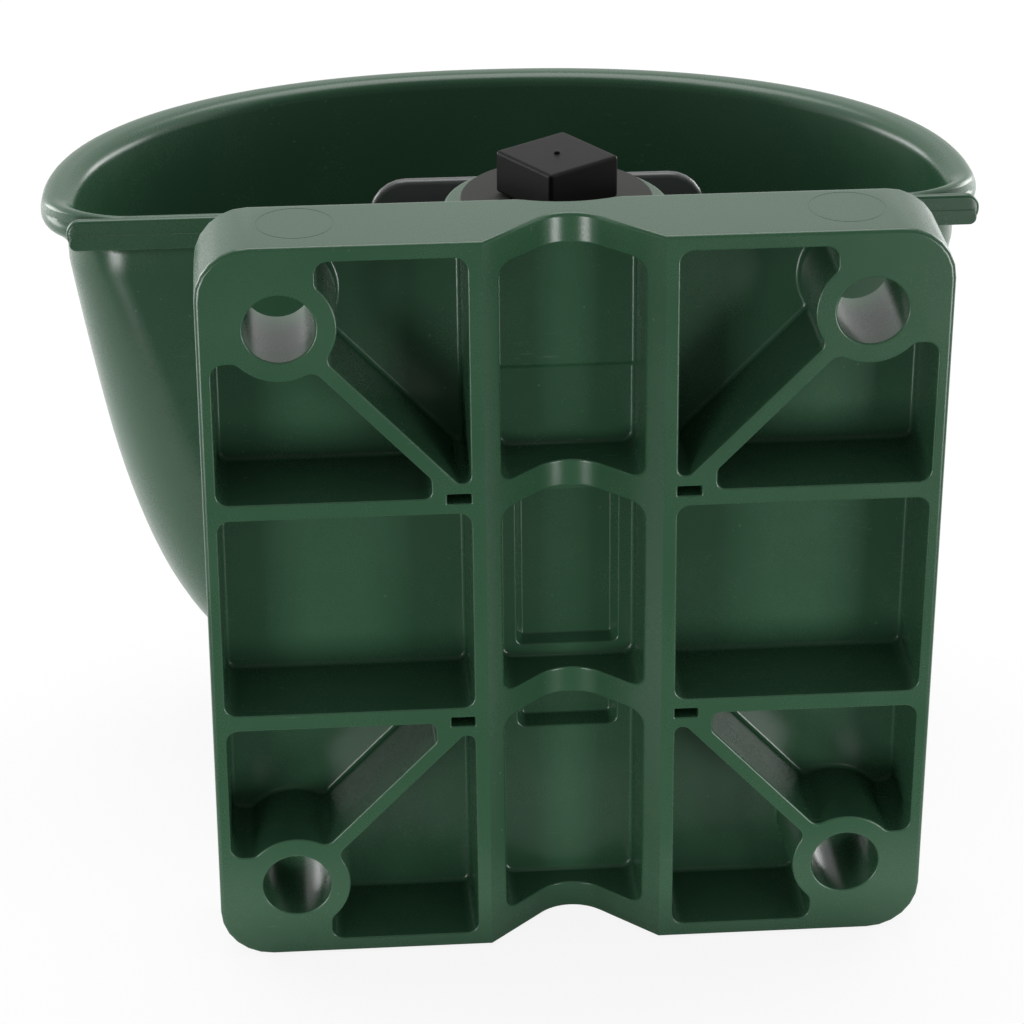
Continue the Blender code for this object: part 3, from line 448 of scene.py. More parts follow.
def flipped(outline, side_x, side_z):
    """Mirror an outline into one of the plate's quarters."""
    return [(x * side_x, z * side_z) for x, z in outline]


QUARTERS = ((1, 1), (-1, 1), (-1, -1), (1, -1))
side_pockets = [flipped(outline, *side) for side in QUARTERS for outline in quarter_pockets()]
middle_half = (PLATE_HALF - SIDE_BORDER - WEB_OUTER) / 2 + RIM
middle_top = RIB_Z - RIB / 2 + RIM
for side in (1, -1):
    middle_x = side * (PLATE_HALF - SIDE_BORDER + WEB_OUTER) / 2
    side_pockets.append(block(middle_half, -middle_top, middle_top, POCKET_CORNER, middle_x))
print(len(side_pockets), "pockets beside the trough")

# %% [markdown]
# The three pockets between the upright webs are a little shallower. The floor of the upper one steps down
# half way, the middle one has a sunk panel and the lower one a thumb slot, all with sloping sides.

# %% Outlines between the webs
CHANNEL_HALF = 0.0160
CHANNEL_RIB = 0.0066
CHANNEL_BORDER = 0.0070
CHANNEL_CORNER = 0.0036
channel_half = CHANNEL_HALF + RIM
channel_low = RIB_Z + CHANNEL_RIB / 2 - RIM
channel_high = PLATE_TOP - CHANNEL_BORDER + RIM
channel_top = RIB_Z - CHANNEL_RIB / 2 + RIM
channel_pockets = [block(channel_half, channel_low, channel_high, CHANNEL_CORNER),
                   block(channel_half, -channel_top, channel_top, CHANNEL_CORNER),
                   block(channel_half, -channel_high, -channel_low, CHANNEL_CORNER)]
UPPER_DEPTH = 0.0205
MIDDLE_DEPTH = 0.020
LOWER_DEPTH = 0.020
PANEL_SLOPE = 0.0010
PANEL_EDGE = 0.0005
PANEL_FILLET = 0.0006
PANEL_DROP = 0.0032
SLOT_DROP = 0.0042
panel = block(0.0123, -0.0207, 0.0207, 0.0022)
thumb_slot = block(0.0122, -0.0429, -0.0310, 0.0026)
hole_outlines = []
for side_x, side_z in QUARTERS:
    ring = arc((side_x * HOLE_X, side_z * HOLE_Z), HOLE_RADIUS + RIM, 0, math.tau, 40)[:-1]
    hole_outlines.append([(x, z) for x, z, radius in ring])
for side_x, side_z in QUARTERS:
    lug_z = side_z * LUG_Z
    hole_outlines.append(block(SLOT_HALF_X, lug_z - SLOT_HALF_Z, lug_z + SLOT_HALF_Z, 0.0008, side_x * LUG_X))
print(len(channel_pockets), "channel pockets,", len(hole_outlines), "through holes")


# %% Pull the plate and sink its pockets
def rim_profile():
    """Return the steps of a rounded rim. A flat ring first keeps the shading of the face around it flat."""
    return [(FLAT_RING, 0.0)] + round_over(RIB_EDGE)


def pocket_profile(depth):
    """Return the steps of a pocket: rounded rim, drafted wall and filleted floor."""
    return rim_profile() + [(POCKET_DRAFT, depth - RIB_EDGE - POCKET_FILLET)] + round_in(POCKET_FILLET)


def panel_profile(drop):
    """Return the steps of a sunk panel with sloping sides."""
    slope = [(PANEL_SLOPE, drop - PANEL_EDGE - PANEL_FILLET)]
    return [(FLAT_RING, 0.0)] + round_over(PANEL_EDGE) + slope + round_in(PANEL_FILLET)


plate = bmesh.new()
outline = block(PLATE_HALF, -PLATE_TOP, PLATE_TOP, PLATE_CORNER)
rear, front = slab(plate, outline, PLATE_EDGE, PLATE_DEPTH - FRONT_EDGE)
for face, radius in ((rear, PLATE_EDGE), (front, FRONT_EDGE)):
    sink(plate, [face], [(inset, -drop) for inset, drop in round_in(radius)] + [(FLAT_RING, 0.0)])
drawn = draw(plate, rear, side_pockets + channel_pockets + hole_outlines)
pocket_faces = drawn[:len(side_pockets)]
upper_face, middle_face, lower_face = drawn[len(side_pockets):len(side_pockets) + len(channel_pockets)]
rear_holes = drawn[len(side_pockets) + len(channel_pockets):]
front_holes = draw(plate, front, hole_outlines)
sink(plate, pocket_faces, pocket_profile(POCKET_DEPTH))
sink(plate, [upper_face], pocket_profile(UPPER_DEPTH))
sink(plate, [middle_face], pocket_profile(MIDDLE_DEPTH))
sink(plate, [lower_face], pocket_profile(LOWER_DEPTH))
sink(plate, draw(plate, middle_face, [panel]), panel_profile(PANEL_DROP))
sink(plate, draw(plate, lower_face, [thumb_slot]), panel_profile(SLOT_DROP))
sink(plate, rear_holes + front_holes, rim_profile())
for rear_hole, front_hole in zip(rear_holes, front_holes):
    tunnel(plate, rear_hole, front_hole)
print("plate has", len(plate.faces), "faces before its trough")

# %% [markdown]
# Two forms are pressed into the finished net. The upper channel's floor goes down by a rounded step, and
# the trough for a standing pipe runs down the middle: straight sides and a round bottom, where the ribs
# simply end lower. Each time the mesh is cut into narrow strips, so that it has points to bend at, and
# the points then move out from the wall by a formula.


# %% Step the upper channel's floor
STEP_Z = 0.0505
STEP_REACH = 0.0011
STEP_DROP = 0.0020
STEP_CUTS = 6


def in_upper_channel(place):
    """Tell if a place is on the floor of the upper channel pocket."""
    deep = -place.y > UPPER_DEPTH - POCKET_FILLET - FLAT_RING
    return deep and -place.y < UPPER_DEPTH + FLAT_RING and abs(place.x) < channel_half and place.z > channel_low


for cut in range(STEP_CUTS + 1):
    floor_faces = [face for face in plate.faces if in_upper_channel(face.calc_center_median())]
    floor_edges = {edge for face in floor_faces for edge in face.edges}
    floor_verts = {vert for face in floor_faces for vert in face.verts}
    level = STEP_Z + STEP_REACH * (2 * cut / STEP_CUTS - 1)
    bmesh.ops.bisect_plane(plate, geom=[*floor_verts, *floor_edges, *floor_faces], dist=1e-6,
                           plane_co=(0, 0, level), plane_no=(0, 0, 1))
for vert in plate.verts:
    if in_upper_channel(vert.co):
        fall = min(max((STEP_Z + STEP_REACH - vert.co.z) / (2 * STEP_REACH), 0.0), 1.0)
        vert.co.y -= STEP_DROP * (1 - math.cos(math.pi * fall)) / 2

# %% Press the pipe trough into the ribs
TROUGH_HALF = 0.0198
TROUGH_DEPTH = 0.0148
TROUGH_RADIUS = 0.0102
TROUGH_CUTS = 7
PRESSED_ZONE = 0.003
trough_centre = TROUGH_DEPTH - TROUGH_RADIUS
tangent = math.atan2(-trough_centre, TROUGH_HALF)
tangent += math.acos(TROUGH_RADIUS / math.hypot(TROUGH_HALF, trough_centre))
tangent_x = TROUGH_RADIUS * math.cos(tangent)
tangent_depth = trough_centre + TROUGH_RADIUS * math.sin(tangent)


def trough(x):
    """Return the trough's depth at a distance from the middle."""
    x = abs(x)
    if x >= TROUGH_HALF:
        return 0.0
    if x > tangent_x:
        return tangent_depth * (TROUGH_HALF - x) / (TROUGH_HALF - tangent_x)
    return trough_centre + math.sqrt(TROUGH_RADIUS ** 2 - x ** 2)


cuts = [TROUGH_HALF] + [tangent_x * step / TROUGH_CUTS for step in range(1, TROUGH_CUTS + 1)]
for x in [-cut for cut in cuts] + [0.0] + cuts:
    bmesh.ops.bisect_plane(plate, geom=plate.verts[:] + plate.edges[:] + plate.faces[:], dist=1e-6,
                           plane_co=(x, 0, 0), plane_no=(1, 0, 0))
for vert in plate.verts:
    if -vert.co.y < PRESSED_ZONE:
        vert.co.y -= trough(vert.co.x)
print("plate has", len(plate.faces), "faces with its trough")

# %% [markdown]
# The webs stand a little out of true with the plate's sides. The points between the screw bosses lean
# with them, and the lean fades out towards the bosses.

# %% Lean the webs
LEAN = 0.010
LEAN_FULL = 0.026
LEAN_NONE = 0.050
for vert in plate.verts:
    share = min(max((LEAN_NONE - abs(vert.co.x)) / (LEAN_NONE - LEAN_FULL), 0.0), 1.0)
    vert.co.x += LEAN * share * vert.co.z

# %% [markdown]
# ## The basin
#
# The basin is D-shaped: a straight back, two round corners and a bowed front that draws in towards a flat
# floor. A subdivided cage could give the same form, but the level outlines follow one rule, so one loop
# is extruded from outline to outline: up the inside, over the rolled rim and down the outside. Bridging
# finished loops would do as well, but where two of them lie level it has to guess which way round they
# run.

# %% Sizes of the basin
BASIN_SHIFT = 0.006
RIM_TOP = 0.0615
RIM_ROLL = 0.0038
RIM_INNER_ROLL = 0.0034
RIM_FLARE = 0.0026
ROLL_TURN = math.radians(165)
LIP = 0.008
RIM_ROOT = 0.0016
BACK_BEAD = 0.0021
BACK_BEAD_DROP = 0.0040
BACK_LIP = 0.0012
BACK_WALL = 0.0018
BACK_RISE = 0.0015
WALL_TOP = RIM_TOP - 2 * RIM_ROLL
WALL_FLARE = 0.0022
FLARE_END = 0.35
STRIP_LEFT = 0.1135
STRIP_RIGHT = -0.1053
STRIP_HEIGHT = 0.0074
STRIP_OUT = 0.0010
STRIP_BEAD = 0.0037
STRIP_BEAD_OUT = 0.0013
BASIN_HALF_WIDTH = 0.1065
BASIN_BACK = 0.085
BASIN_FRONT = 0.179
BASIN_MIDDLE = 0.128
BASIN_HEIGHT = 0.1368
BASIN_WALL = 0.0032
BASIN_CORNER = 0.014
BASIN_CORNER_GROWTH = 0.022
BASIN_POWER = 2.2
WALL_POWER = 1.5
BACK_POWER = 6.0
FLOOR_POWER = 5.0
FLOOR_TURN = math.radians(80)
FLOOR_RING = 0.004
BACK_STEPS = 12
CORNER_STEPS = 12
FRONT_STEPS = 44
WALL_RINGS = 30
ROLL_RINGS = 12


# %% Level outlines of the basin
def basin_loop(half_width, back, front, corner, height):
    """Return the places of one outline. Its height is a function of the depth."""
    straight = half_width - corner
    bow = front - back - corner
    side = [(straight * step / BACK_STEPS, back) for step in range(BACK_STEPS)]
    side += [point[:2] for point in arc((straight, back + corner), corner, -math.pi / 2, 0, CORNER_STEPS)]
    for step in range(1, FRONT_STEPS + 1):
        turn = math.pi / 2 * step / FRONT_STEPS
        x = half_width * max(math.cos(turn), 0.0) ** (2 / BASIN_POWER)
        side.append((x, back + corner + bow * math.sin(turn) ** (2 / BASIN_POWER)))
    other = [(-x, depth) for x, depth in side[-2:0:-1]]
    return [(x + BASIN_SHIFT, -depth, height(depth)) for x, depth in side + other]


def wall_loop(fall, inset, height):
    """Return the outline a share of the way down the wall, moved in by the inset."""
    wide = (1 - fall ** WALL_POWER) ** (1 / FLOOR_POWER)
    rear = (1 - fall ** BACK_POWER) ** (1 / FLOOR_POWER)
    back = BASIN_MIDDLE - (BASIN_MIDDLE - BASIN_BACK) * rear + inset
    front = BASIN_MIDDLE + (BASIN_FRONT - BASIN_MIDDLE) * wide - inset
    corner = BASIN_CORNER + BASIN_CORNER_GROWTH * fall - inset
    level = WALL_TOP - height * fall
    flare = WALL_FLARE * max(1 - fall / FLARE_END, 0.0) ** 2
    return basin_loop(BASIN_HALF_WIDTH * wide + flare - inset, back, front + flare, corner, lambda depth: level)


def rim_loop(around, behind):
    """Return an outline of the rim from two (out, rise) points: one for the sides and front, one for the back."""
    out, rise = around[:2]
    back_out, back_rise = behind[:2]
    back = BASIN_BACK - back_out
    corner = BASIN_CORNER + out

    def height(depth):
        share = min(max((depth - back) / corner, 0.0), 1.0)
        turn = share * share * (3 - 2 * share)
        return RIM_TOP + back_rise + (rise - back_rise) * turn

    return basin_loop(BASIN_HALF_WIDTH + out, back, BASIN_FRONT + out, corner, height)


# %% [markdown]
# The rim is a rolled bead round the sides and the front. Along the back the wall ends in a plain edge and
# the bead runs lower down. Both profiles have the same number of points, and the corners blend one into
# the other.


# %% Skin the basin
def basin_loops():
    """Return the outlines from the inner floor over the rim to the outer floor."""
    falls = [math.sin(FLOOR_TURN * step / WALL_RINGS) for step in range(WALL_RINGS + 1)]
    inside = RIM_FLARE - BASIN_WALL + RIM_INNER_ROLL
    around = arc((inside, -RIM_INNER_ROLL), RIM_INNER_ROLL, math.pi, math.pi / 2, 6)
    around += arc((LIP - RIM_ROLL, -RIM_ROLL), RIM_ROLL, math.pi / 2, math.pi / 2 - ROLL_TURN, 12)
    half_wall = BACK_WALL / 2
    behind = arc((-half_wall, BACK_RISE - half_wall), half_wall, math.pi, math.pi / 2, 6)
    behind += arc((-half_wall, BACK_RISE - half_wall), half_wall, math.pi / 2, 0, 4)
    behind += arc((BACK_LIP - BACK_BEAD, -BACK_BEAD_DROP), BACK_BEAD, math.radians(75), math.radians(-80), 7)
    loops = [wall_loop(fall, BASIN_WALL, BASIN_HEIGHT - BASIN_WALL) for fall in reversed(falls)]
    loops += [rim_loop(*points) for points in zip(around, behind, strict=True)]
    root = WALL_TOP - RIM_TOP - RIM_ROOT / 2
    loops.append(rim_loop((RIM_ROOT, root), (RIM_ROOT / 4, root)))
    return loops + [wall_loop(fall, 0, BASIN_HEIGHT) for fall in falls[1:]]


def pull_on(shape, edges, verts, places):
    """Extrude a closed loop to new places and return its new edges and vertices."""
    geometry = bmesh.ops.extrude_edge_only(shape, edges=edges)["geom"]
    fresh = {item for item in geometry if isinstance(item, bmesh.types.BMVert)}
    ahead = []
    for vert, place in zip(verts, places):
        ahead.append(next(edge.other_vert(vert) for edge in vert.link_edges if edge.other_vert(vert) in fresh))
        ahead[-1].co = place
    made = [item for item in geometry if isinstance(item, bmesh.types.BMEdge)]
    return [edge for edge in made if fresh.issuperset(edge.verts)], ahead


def skin(shape, loops):
    """Extrude the first outline through all the others and close both ends with a floor."""
    verts = [shape.verts.new(place) for place in loops[0]]
    edges = [shape.edges.new((verts[i - 1], verts[i])) for i in range(len(verts))]
    ends = [edges]
    for places in loops[1:]:
        edges, verts = pull_on(shape, edges, verts, places)
    ends.append(edges)
    for end in ends:
        floor = bmesh.ops.edgeloop_fill(shape, edges=end)["faces"]
        bmesh.ops.inset_region(shape, faces=floor, thickness=FLOOR_RING, use_even_offset=True)


basin = bmesh.new()
skin(basin, basin_loops())
print("basin skin", len(basin.faces), "faces")

# %% [markdown]
# Behind the basin the same moulding carries the water tube, two cheeks, a flange with four lugs that clip
# into the plate, and the pads for the valve and its bracket. They are separate closed shapes with rounded
# edges, and a Boolean joins them to the basin: here the crossing lines are hidden or short, so its faces
# do no harm.

# %% Sizes of the tube and its neighbours
TUBE_RADIUS = 0.026
TUBE_DEPTH = PLATE_DEPTH + TUBE_RADIUS + 0.0005
TUBE_TOP = 0.0768
TUBE_BOTTOM = -0.048
TUBE_EDGE = 0.0008
TUBE_BORE = 0.0093
THREAD_RADIUS = 0.0105
THREAD_LENGTH = 0.016
FLANGE_HALF = 0.034
FLANGE_TOP = 0.038
FLANGE_DEPTH = 0.006
CHEEK_MIDDLE = 0.027
CHEEK_HALF = 0.003
CHEEK_BOTTOM = -0.030
CHEEK_TOP = 0.048
GAP = 0.0003
LUG_LENGTH = 0.016
VALVE_Z = 0.030
FLOW_Z = 0.010
PAD_FACE = BASIN_BACK + BASIN_WALL + 0.0018
SCREW_SPREAD = 0.014
SCREW_Z = 0.050
TURN_STEPS = 64


# %% Turned and pulled shapes
def turned(shape, profile, centre, axis, steps=TURN_STEPS):
    """Spin a closed (radius, height) profile round an axis through centre."""
    axis = Vector(axis)
    side = axis.orthogonal().normalized()
    verts = [shape.verts.new(Vector(centre) + side * radius + axis * height) for radius, height in profile]
    edges = [shape.edges.new((verts[i - 1], verts[i])) for i in range(len(verts))]
    bmesh.ops.spin(shape, geom=verts + edges, cent=centre, axis=axis, angle=math.tau, steps=steps, use_merge=True)
    bmesh.ops.remove_doubles(shape, verts=shape.verts, dist=1e-6)
    bmesh.ops.recalc_face_normals(shape, faces=shape.faces)
    return shape


def rod(x, z, radius, start, end, edge=0.0004):
    """Return a bar that runs out from the wall, with a rounded far end."""
    profile = [(0, start), (radius, start)]
    profile += [(px, pz) for px, pz, none in arc((radius - edge, end - edge), edge, 0, math.pi / 2, 4)]
    profile += [(0, end)]
    return turned(bmesh.new(), profile, (x, 0, z), (0, -1, 0))


def upright(radius, bottom, top, edge=0.0):
    """Return a bar that stands on the tube's axis, with rounded ends."""
    profile = [(0, bottom)]
    if edge:
        profile += [(x, z) for x, z, none in arc((radius - edge, bottom + edge), edge, -math.pi / 2, 0, 4)]
        profile += [(x, z) for x, z, none in arc((radius - edge, top - edge), edge, 0, math.pi / 2, 4)]
    else:
        profile += [(radius, bottom), (radius, top)]
    profile += [(0, top)]
    return turned(bmesh.new(), profile, (0, -TUBE_DEPTH, 0), (0, 0, 1))


def rounded_block(half_width, bottom, top, start, end, corner, edge, centre=0.0):
    """Return a pulled rectangle with round corners and rounded edges."""
    shape = bmesh.new()
    faces = slab(shape, block(half_width, bottom, top, corner, centre), start + edge, end - edge)
    for face in faces:
        sink(shape, [face], [(inset, -drop) for inset, drop in round_in(edge, 3)])
    return shape


def joined(base, *others):
    """Fuse or cut shapes with a base: others are (operation, shape) pairs."""
    mesh = bpy.data.meshes.new("base")
    bmesh.ops.recalc_face_normals(base, faces=base.faces)
    base.to_mesh(mesh)
    base.free()
    holder = bpy.data.objects.new("base", mesh)
    bpy.context.scene.collection.objects.link(holder)
    helpers = [holder]
    for operation, shape in others:
        other_mesh = bpy.data.meshes.new("other")
        bmesh.ops.recalc_face_normals(shape, faces=shape.faces)
        shape.to_mesh(other_mesh)
        shape.free()
        other = bpy.data.objects.new("other", other_mesh)
        bpy.context.scene.collection.objects.link(other)
        step = holder.modifiers.new(operation, "BOOLEAN")
        step.operation = operation
        step.solver = "MANIFOLD"
        step.object = other
        helpers.append(other)
    evaluated = holder.evaluated_get(bpy.context.evaluated_depsgraph_get())
    result = bmesh.new()
    result.from_mesh(evaluated.to_mesh())
    for helper in helpers:
        bpy.data.objects.remove(helper)
    bmesh.ops.remove_doubles(result, verts=result.verts, dist=1e-6)
    return result


# %% Join the basin, the tube and its fittings
seat = PLATE_DEPTH + GAP
parts = [("UNION", upright(TUBE_RADIUS, TUBE_BOTTOM, TUBE_TOP, TUBE_EDGE))]
strip_half = (STRIP_LEFT - STRIP_RIGHT) / 2
strip_centre = (STRIP_LEFT + STRIP_RIGHT) / 2
strip_top = RIM_TOP + BACK_RISE - 0.0002
strip_end = BASIN_BACK + 0.0012
parts.append(("UNION", rounded_block(strip_half, strip_top - STRIP_HEIGHT, strip_top, BASIN_BACK - STRIP_OUT,
                                     strip_end, 0.0034, 0.0008, strip_centre)))
parts.append(("UNION", rounded_block(strip_half - 0.0006, strip_top - STRIP_HEIGHT - 0.0002,
                                     strip_top - STRIP_HEIGHT + STRIP_BEAD, BASIN_BACK - STRIP_BEAD_OUT, strip_end,
                                     0.0017, 0.0003, strip_centre)))
for side in (1, -1):
    cheek_end = BASIN_BACK + BASIN_WALL / 2
    parts.append(("UNION", rounded_block(CHEEK_HALF, CHEEK_BOTTOM, CHEEK_TOP, seat + FLANGE_DEPTH / 2, cheek_end,
                                         0.001, 0.0006, side * CHEEK_MIDDLE)))
flange_block = rounded_block(FLANGE_HALF, -FLANGE_TOP, FLANGE_TOP, seat, seat + FLANGE_DEPTH, 0.004, 0.001)
parts.append(("UNION", flange_block))
for side_x, side_z in QUARTERS:
    z = side_z * LUG_Z
    lug = rounded_block(SLOT_HALF_X - GAP, z - SLOT_HALF_Z + GAP, z + SLOT_HALF_Z - GAP, PLATE_DEPTH - LUG_LENGTH,
                        seat + FLANGE_DEPTH / 2, 0.0004, 0.0004, side_x * LUG_X)
    parts.append(("UNION", lug))
parts.append(("UNION", rod(0, VALVE_Z, 0.014, TUBE_DEPTH, PAD_FACE, 0.0008)))
parts.append(("UNION", rod(0, FLOW_Z, 0.0075, TUBE_DEPTH, PAD_FACE, 0.0006)))
for side in (1, -1):
    screw_boss = rod(side * SCREW_SPREAD, SCREW_Z, 0.005, TUBE_DEPTH + TUBE_RADIUS / 2, PAD_FACE, 0.0006)
    parts.append(("UNION", screw_boss))
    parts.append(("DIFFERENCE", rod(side * SCREW_SPREAD, SCREW_Z, 0.002, PAD_FACE - 0.011, PAD_FACE + 0.005)))
parts.append(("DIFFERENCE", upright(TUBE_BORE, TUBE_BOTTOM - 0.005, TUBE_TOP + 0.005)))
parts.append(("DIFFERENCE", upright(THREAD_RADIUS, TUBE_TOP - THREAD_LENGTH, TUBE_TOP + 0.005)))
parts.append(("DIFFERENCE", upright(THREAD_RADIUS, TUBE_BOTTOM - 0.005, TUBE_BOTTOM + THREAD_LENGTH)))
parts.append(("DIFFERENCE", rod(0, VALVE_Z, 0.0085, TUBE_DEPTH, PAD_FACE + 0.005)))
parts.append(("DIFFERENCE", rod(0, FLOW_Z, 0.0037, TUBE_DEPTH, PAD_FACE + 0.005)))
bowl_piece = piece("basin_moulding", joined(basin, *parts), GREEN, "housing", "moulded_green", "bowl")

# %% [markdown]
# The plate's top edge makes room for the tube by a shallow round relief. Two round ejector marks are left
# from its moulding.

# %% Finish the plate's top
RELIEF_CLEARANCE = 0.0042
RELIEF_HEIGHT = 0.008
EJECTOR_RADIUS = 0.0085
EJECTOR_LINE = 0.0002
EJECTOR_DROP = 0.00004
EJECTOR_PLACES = ((0.0603, -0.0135), (-0.0601, -0.0135))
ABOVE = 0.005
marks = [("DIFFERENCE", upright(TUBE_RADIUS + RELIEF_CLEARANCE, PLATE_TOP - RELIEF_HEIGHT, PLATE_TOP + ABOVE))]
for x, y in EJECTOR_PLACES:
    inner, outer = EJECTOR_RADIUS - EJECTOR_LINE, EJECTOR_RADIUS
    low, high = PLATE_TOP - EJECTOR_DROP, PLATE_TOP + ABOVE
    line = turned(bmesh.new(), [(inner, low), (outer, low), (outer, high), (inner, high)], (x, y, 0), (0, 0, 1))
    marks.append(("DIFFERENCE", line))
wall_plate = piece("wall_plate", joined(plate, *marks), GREEN, "housing", "moulded_green", "back_plate")

# %% [markdown]
# ## Plug and washer
#
# The tube's upper end isn't used here, so a square-headed plug closes it on a grey ring. The plug's edges
# are softly rounded and the stub where the plastic was fed in still stands in the middle of its head.

# %% Plug and washer
washer_low, washer_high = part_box("plug_washer")
plug_low, plug_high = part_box("plug")
PLUG_HALF = 0.010
PLUG_TURN = math.radians(34)
PLUG_EDGE = 0.0009
head_bottom = washer_high.z + GAP
head_top = plug_high.z + 0.0008
head_height = head_top - head_bottom
head = bmesh.new()
bmesh.ops.create_cube(head, size=1.0)
bmesh.ops.scale(head, vec=(2 * PLUG_HALF, 2 * PLUG_HALF, head_height), verts=head.verts)
bmesh.ops.bevel(head, geom=head.edges[:], offset=PLUG_EDGE, segments=4, profile=0.5, affect="EDGES", material=-1)
bmesh.ops.rotate(head, cent=(0, 0, 0), matrix=Matrix.Rotation(PLUG_TURN, 3, "Z"), verts=head.verts)
bmesh.ops.translate(head, vec=(0, -TUBE_DEPTH, head_bottom + head_height / 2), verts=head.verts)
shank = upright(THREAD_RADIUS - GAP, plug_low.z, head_bottom + PLUG_EDGE, 0.0006)
stub = upright(0.0007, head_top - 0.001, head_top + 0.0006, 0.0003)
plug_piece = piece("pipe_plug", joined(head, ("UNION", shank), ("UNION", stub)), BLACK, "housing",
                   "moulded_black", "plug")
ring = bmesh.new()
ring_edge = 0.0004
bore = THREAD_RADIUS + GAP
profile = [(bore, washer_low.z)]
profile += [(x, z) for x, z, none in arc((washer_high.x - ring_edge, washer_low.z + ring_edge), ring_edge,
                                         -math.pi / 2, 0, 4)]
profile += [(x, z) for x, z, none in arc((washer_high.x - ring_edge, washer_high.z - ring_edge), ring_edge,
                                         0, math.pi / 2, 4)]
profile += [(bore, washer_high.z)]
turned(ring, profile, (0, -TUBE_DEPTH, 0), (0, 0, 1))
washer_piece = piece("sealing_ring", ring, WASHER, "housing", "washer_grey", "plug_washer")

# %% [markdown]
# ## Tongue, hinge and valve
#
# The tongue, the bracket it hangs on and the valve are copies of the solids. Machined and moulded edges
# are never quite sharp, so each copy is merged, its flat facets are joined and its sharp edges get a
# small round. The stem's tip gets the largest round of the valve pieces, because the tongue rolls over
# it. The hidden rubber keeps its solids.

# %% Tongue, hinge and valve
FACET_ANGLE = math.radians(1)
SHARP_ANGLE = math.radians(35)


def softened(node, body, finish, slot, radius, clamp=True):
    """Copy a solid with its sharp edges rounded and let the copy stand for it."""
    shape = bmesh.new()
    shape.from_mesh(frame["nodes"][node].data)
    bmesh.ops.remove_doubles(shape, verts=shape.verts, dist=1e-6)
    bmesh.ops.dissolve_limit(shape, angle_limit=FACET_ANGLE, verts=shape.verts, edges=shape.edges)
    sharp = [edge for edge in shape.edges if edge.is_manifold and edge.calc_face_angle() > SHARP_ANGLE]
    bmesh.ops.bevel(shape, geom=sharp, offset=radius, segments=3, profile=0.5, affect="EDGES", material=-1,
                    clamp_overlap=clamp)
    return piece(node + "_rounded", shape, finish, body, slot, node)


softened("tongue", "tongue", DARK_GREY, "moulded_black", 0.0012, clamp=False)
softened("hinge_bracket", "housing", STEEL, "stainless", 0.0003)
softened("hinge_pin", "housing", STEEL, "stainless", 0.0003)
softened("valve_body", "housing", BRASS, "brass", 0.0003)
softened("valve_stem", "stem", STEEL, "stainless", 0.0008)
softened("flow_screw", "flow_screw", BRASS, "brass", 0.0003)
for side in ("left", "right"):
    softened("bracket_screw_" + side, "housing", STEEL, "stainless", 0.0002)
    softened("pin_clip_" + side, "housing", STEEL, "stainless", 0.00015)

# %% [markdown]
# ## Return spring
#
# A circle of wire swept round the valve's axis makes the coil. It rests on its cap. The share of its length that
# is left when the stem is fully in is worked out and printed.

# %% Return spring
SPRING_WIRE = 0.00035
SPRING_TURNS = 3.5
SPRING_STEPS = 24
spring_low, spring_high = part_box("return_spring")
valve_height = (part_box("spring_cap")[0].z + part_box("spring_cap")[1].z) / 2
coil_radius = spring_high.x - SPRING_WIRE
coil_rise = spring_high.y - spring_low.y - 2 * SPRING_WIRE
steps = round(SPRING_TURNS * SPRING_STEPS)

spring = bmesh.new()
first = Matrix.Translation((coil_radius, spring_high.y - SPRING_WIRE, valve_height))
wire = bmesh.ops.create_circle(spring, cap_ends=True, segments=10, radius=SPRING_WIRE, matrix=first)
bmesh.ops.spin(spring, geom=spring.verts[:] + spring.edges[:] + spring.faces[:], cent=(0, 0, valve_height),
               axis=(0, 1, 0), dvec=(0, -coil_rise / steps, 0), angle=math.tau * SPRING_TURNS, steps=steps)
spring_piece = piece("wound_spring", spring, STEEL, "housing", "stainless", "return_spring")
stem_slide = next(joint for joint in frame["joints"] if joint["name"] == "stem_slide")
spring_length = spring_high.y - spring_low.y
spring_keep = 1 - stem_slide["range_m"][1] / spring_length
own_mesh(spring_piece)
print("spring", round(spring_length * 1000, 2), "mm long, pressed to", round(spring_keep, 3), "of that")

# %% [markdown]
# ## Camera, floor and light
#
# The camera stands behind and above the plate, where the wall would be, with a long lens. The room is
# white behind the piece. On the camera's side the ground is dark, and a dark card that only reflections
# see stands behind the camera, so that faces turned to it keep their depth of colour. One soft lamp hangs
# overhead, two low ones beside the camera light the ribs, and two behind the piece draw pale lines along
# its edges.

# %% Camera
camera_data = bpy.data.cameras.new("camera")
camera_data.lens = 123.05
camera_data.sensor_width = 36.0
camera = bpy.data.objects.new("camera", camera_data)
CAMERA_PLACE = Vector((0.0680, 0.6875, 0.3811))
CAMERA_RIGHT = Vector((-0.99696, 0.07794, 0.0))
CAMERA_UP = Vector((-0.03576, -0.45742, 0.88853))
CAMERA_BACK = CAMERA_RIGHT.cross(CAMERA_UP)
turn = Matrix((CAMERA_RIGHT, CAMERA_UP, CAMERA_BACK)).transposed()
camera.matrix_world = Matrix.Translation(CAMERA_PLACE) @ turn.to_4x4()
bpy.context.scene.collection.objects.link(camera)
bpy.context.scene.camera = camera

# %% Floor, world and lamps
UPRIGHT = Matrix.Rotation(math.radians(90), 4, "X")


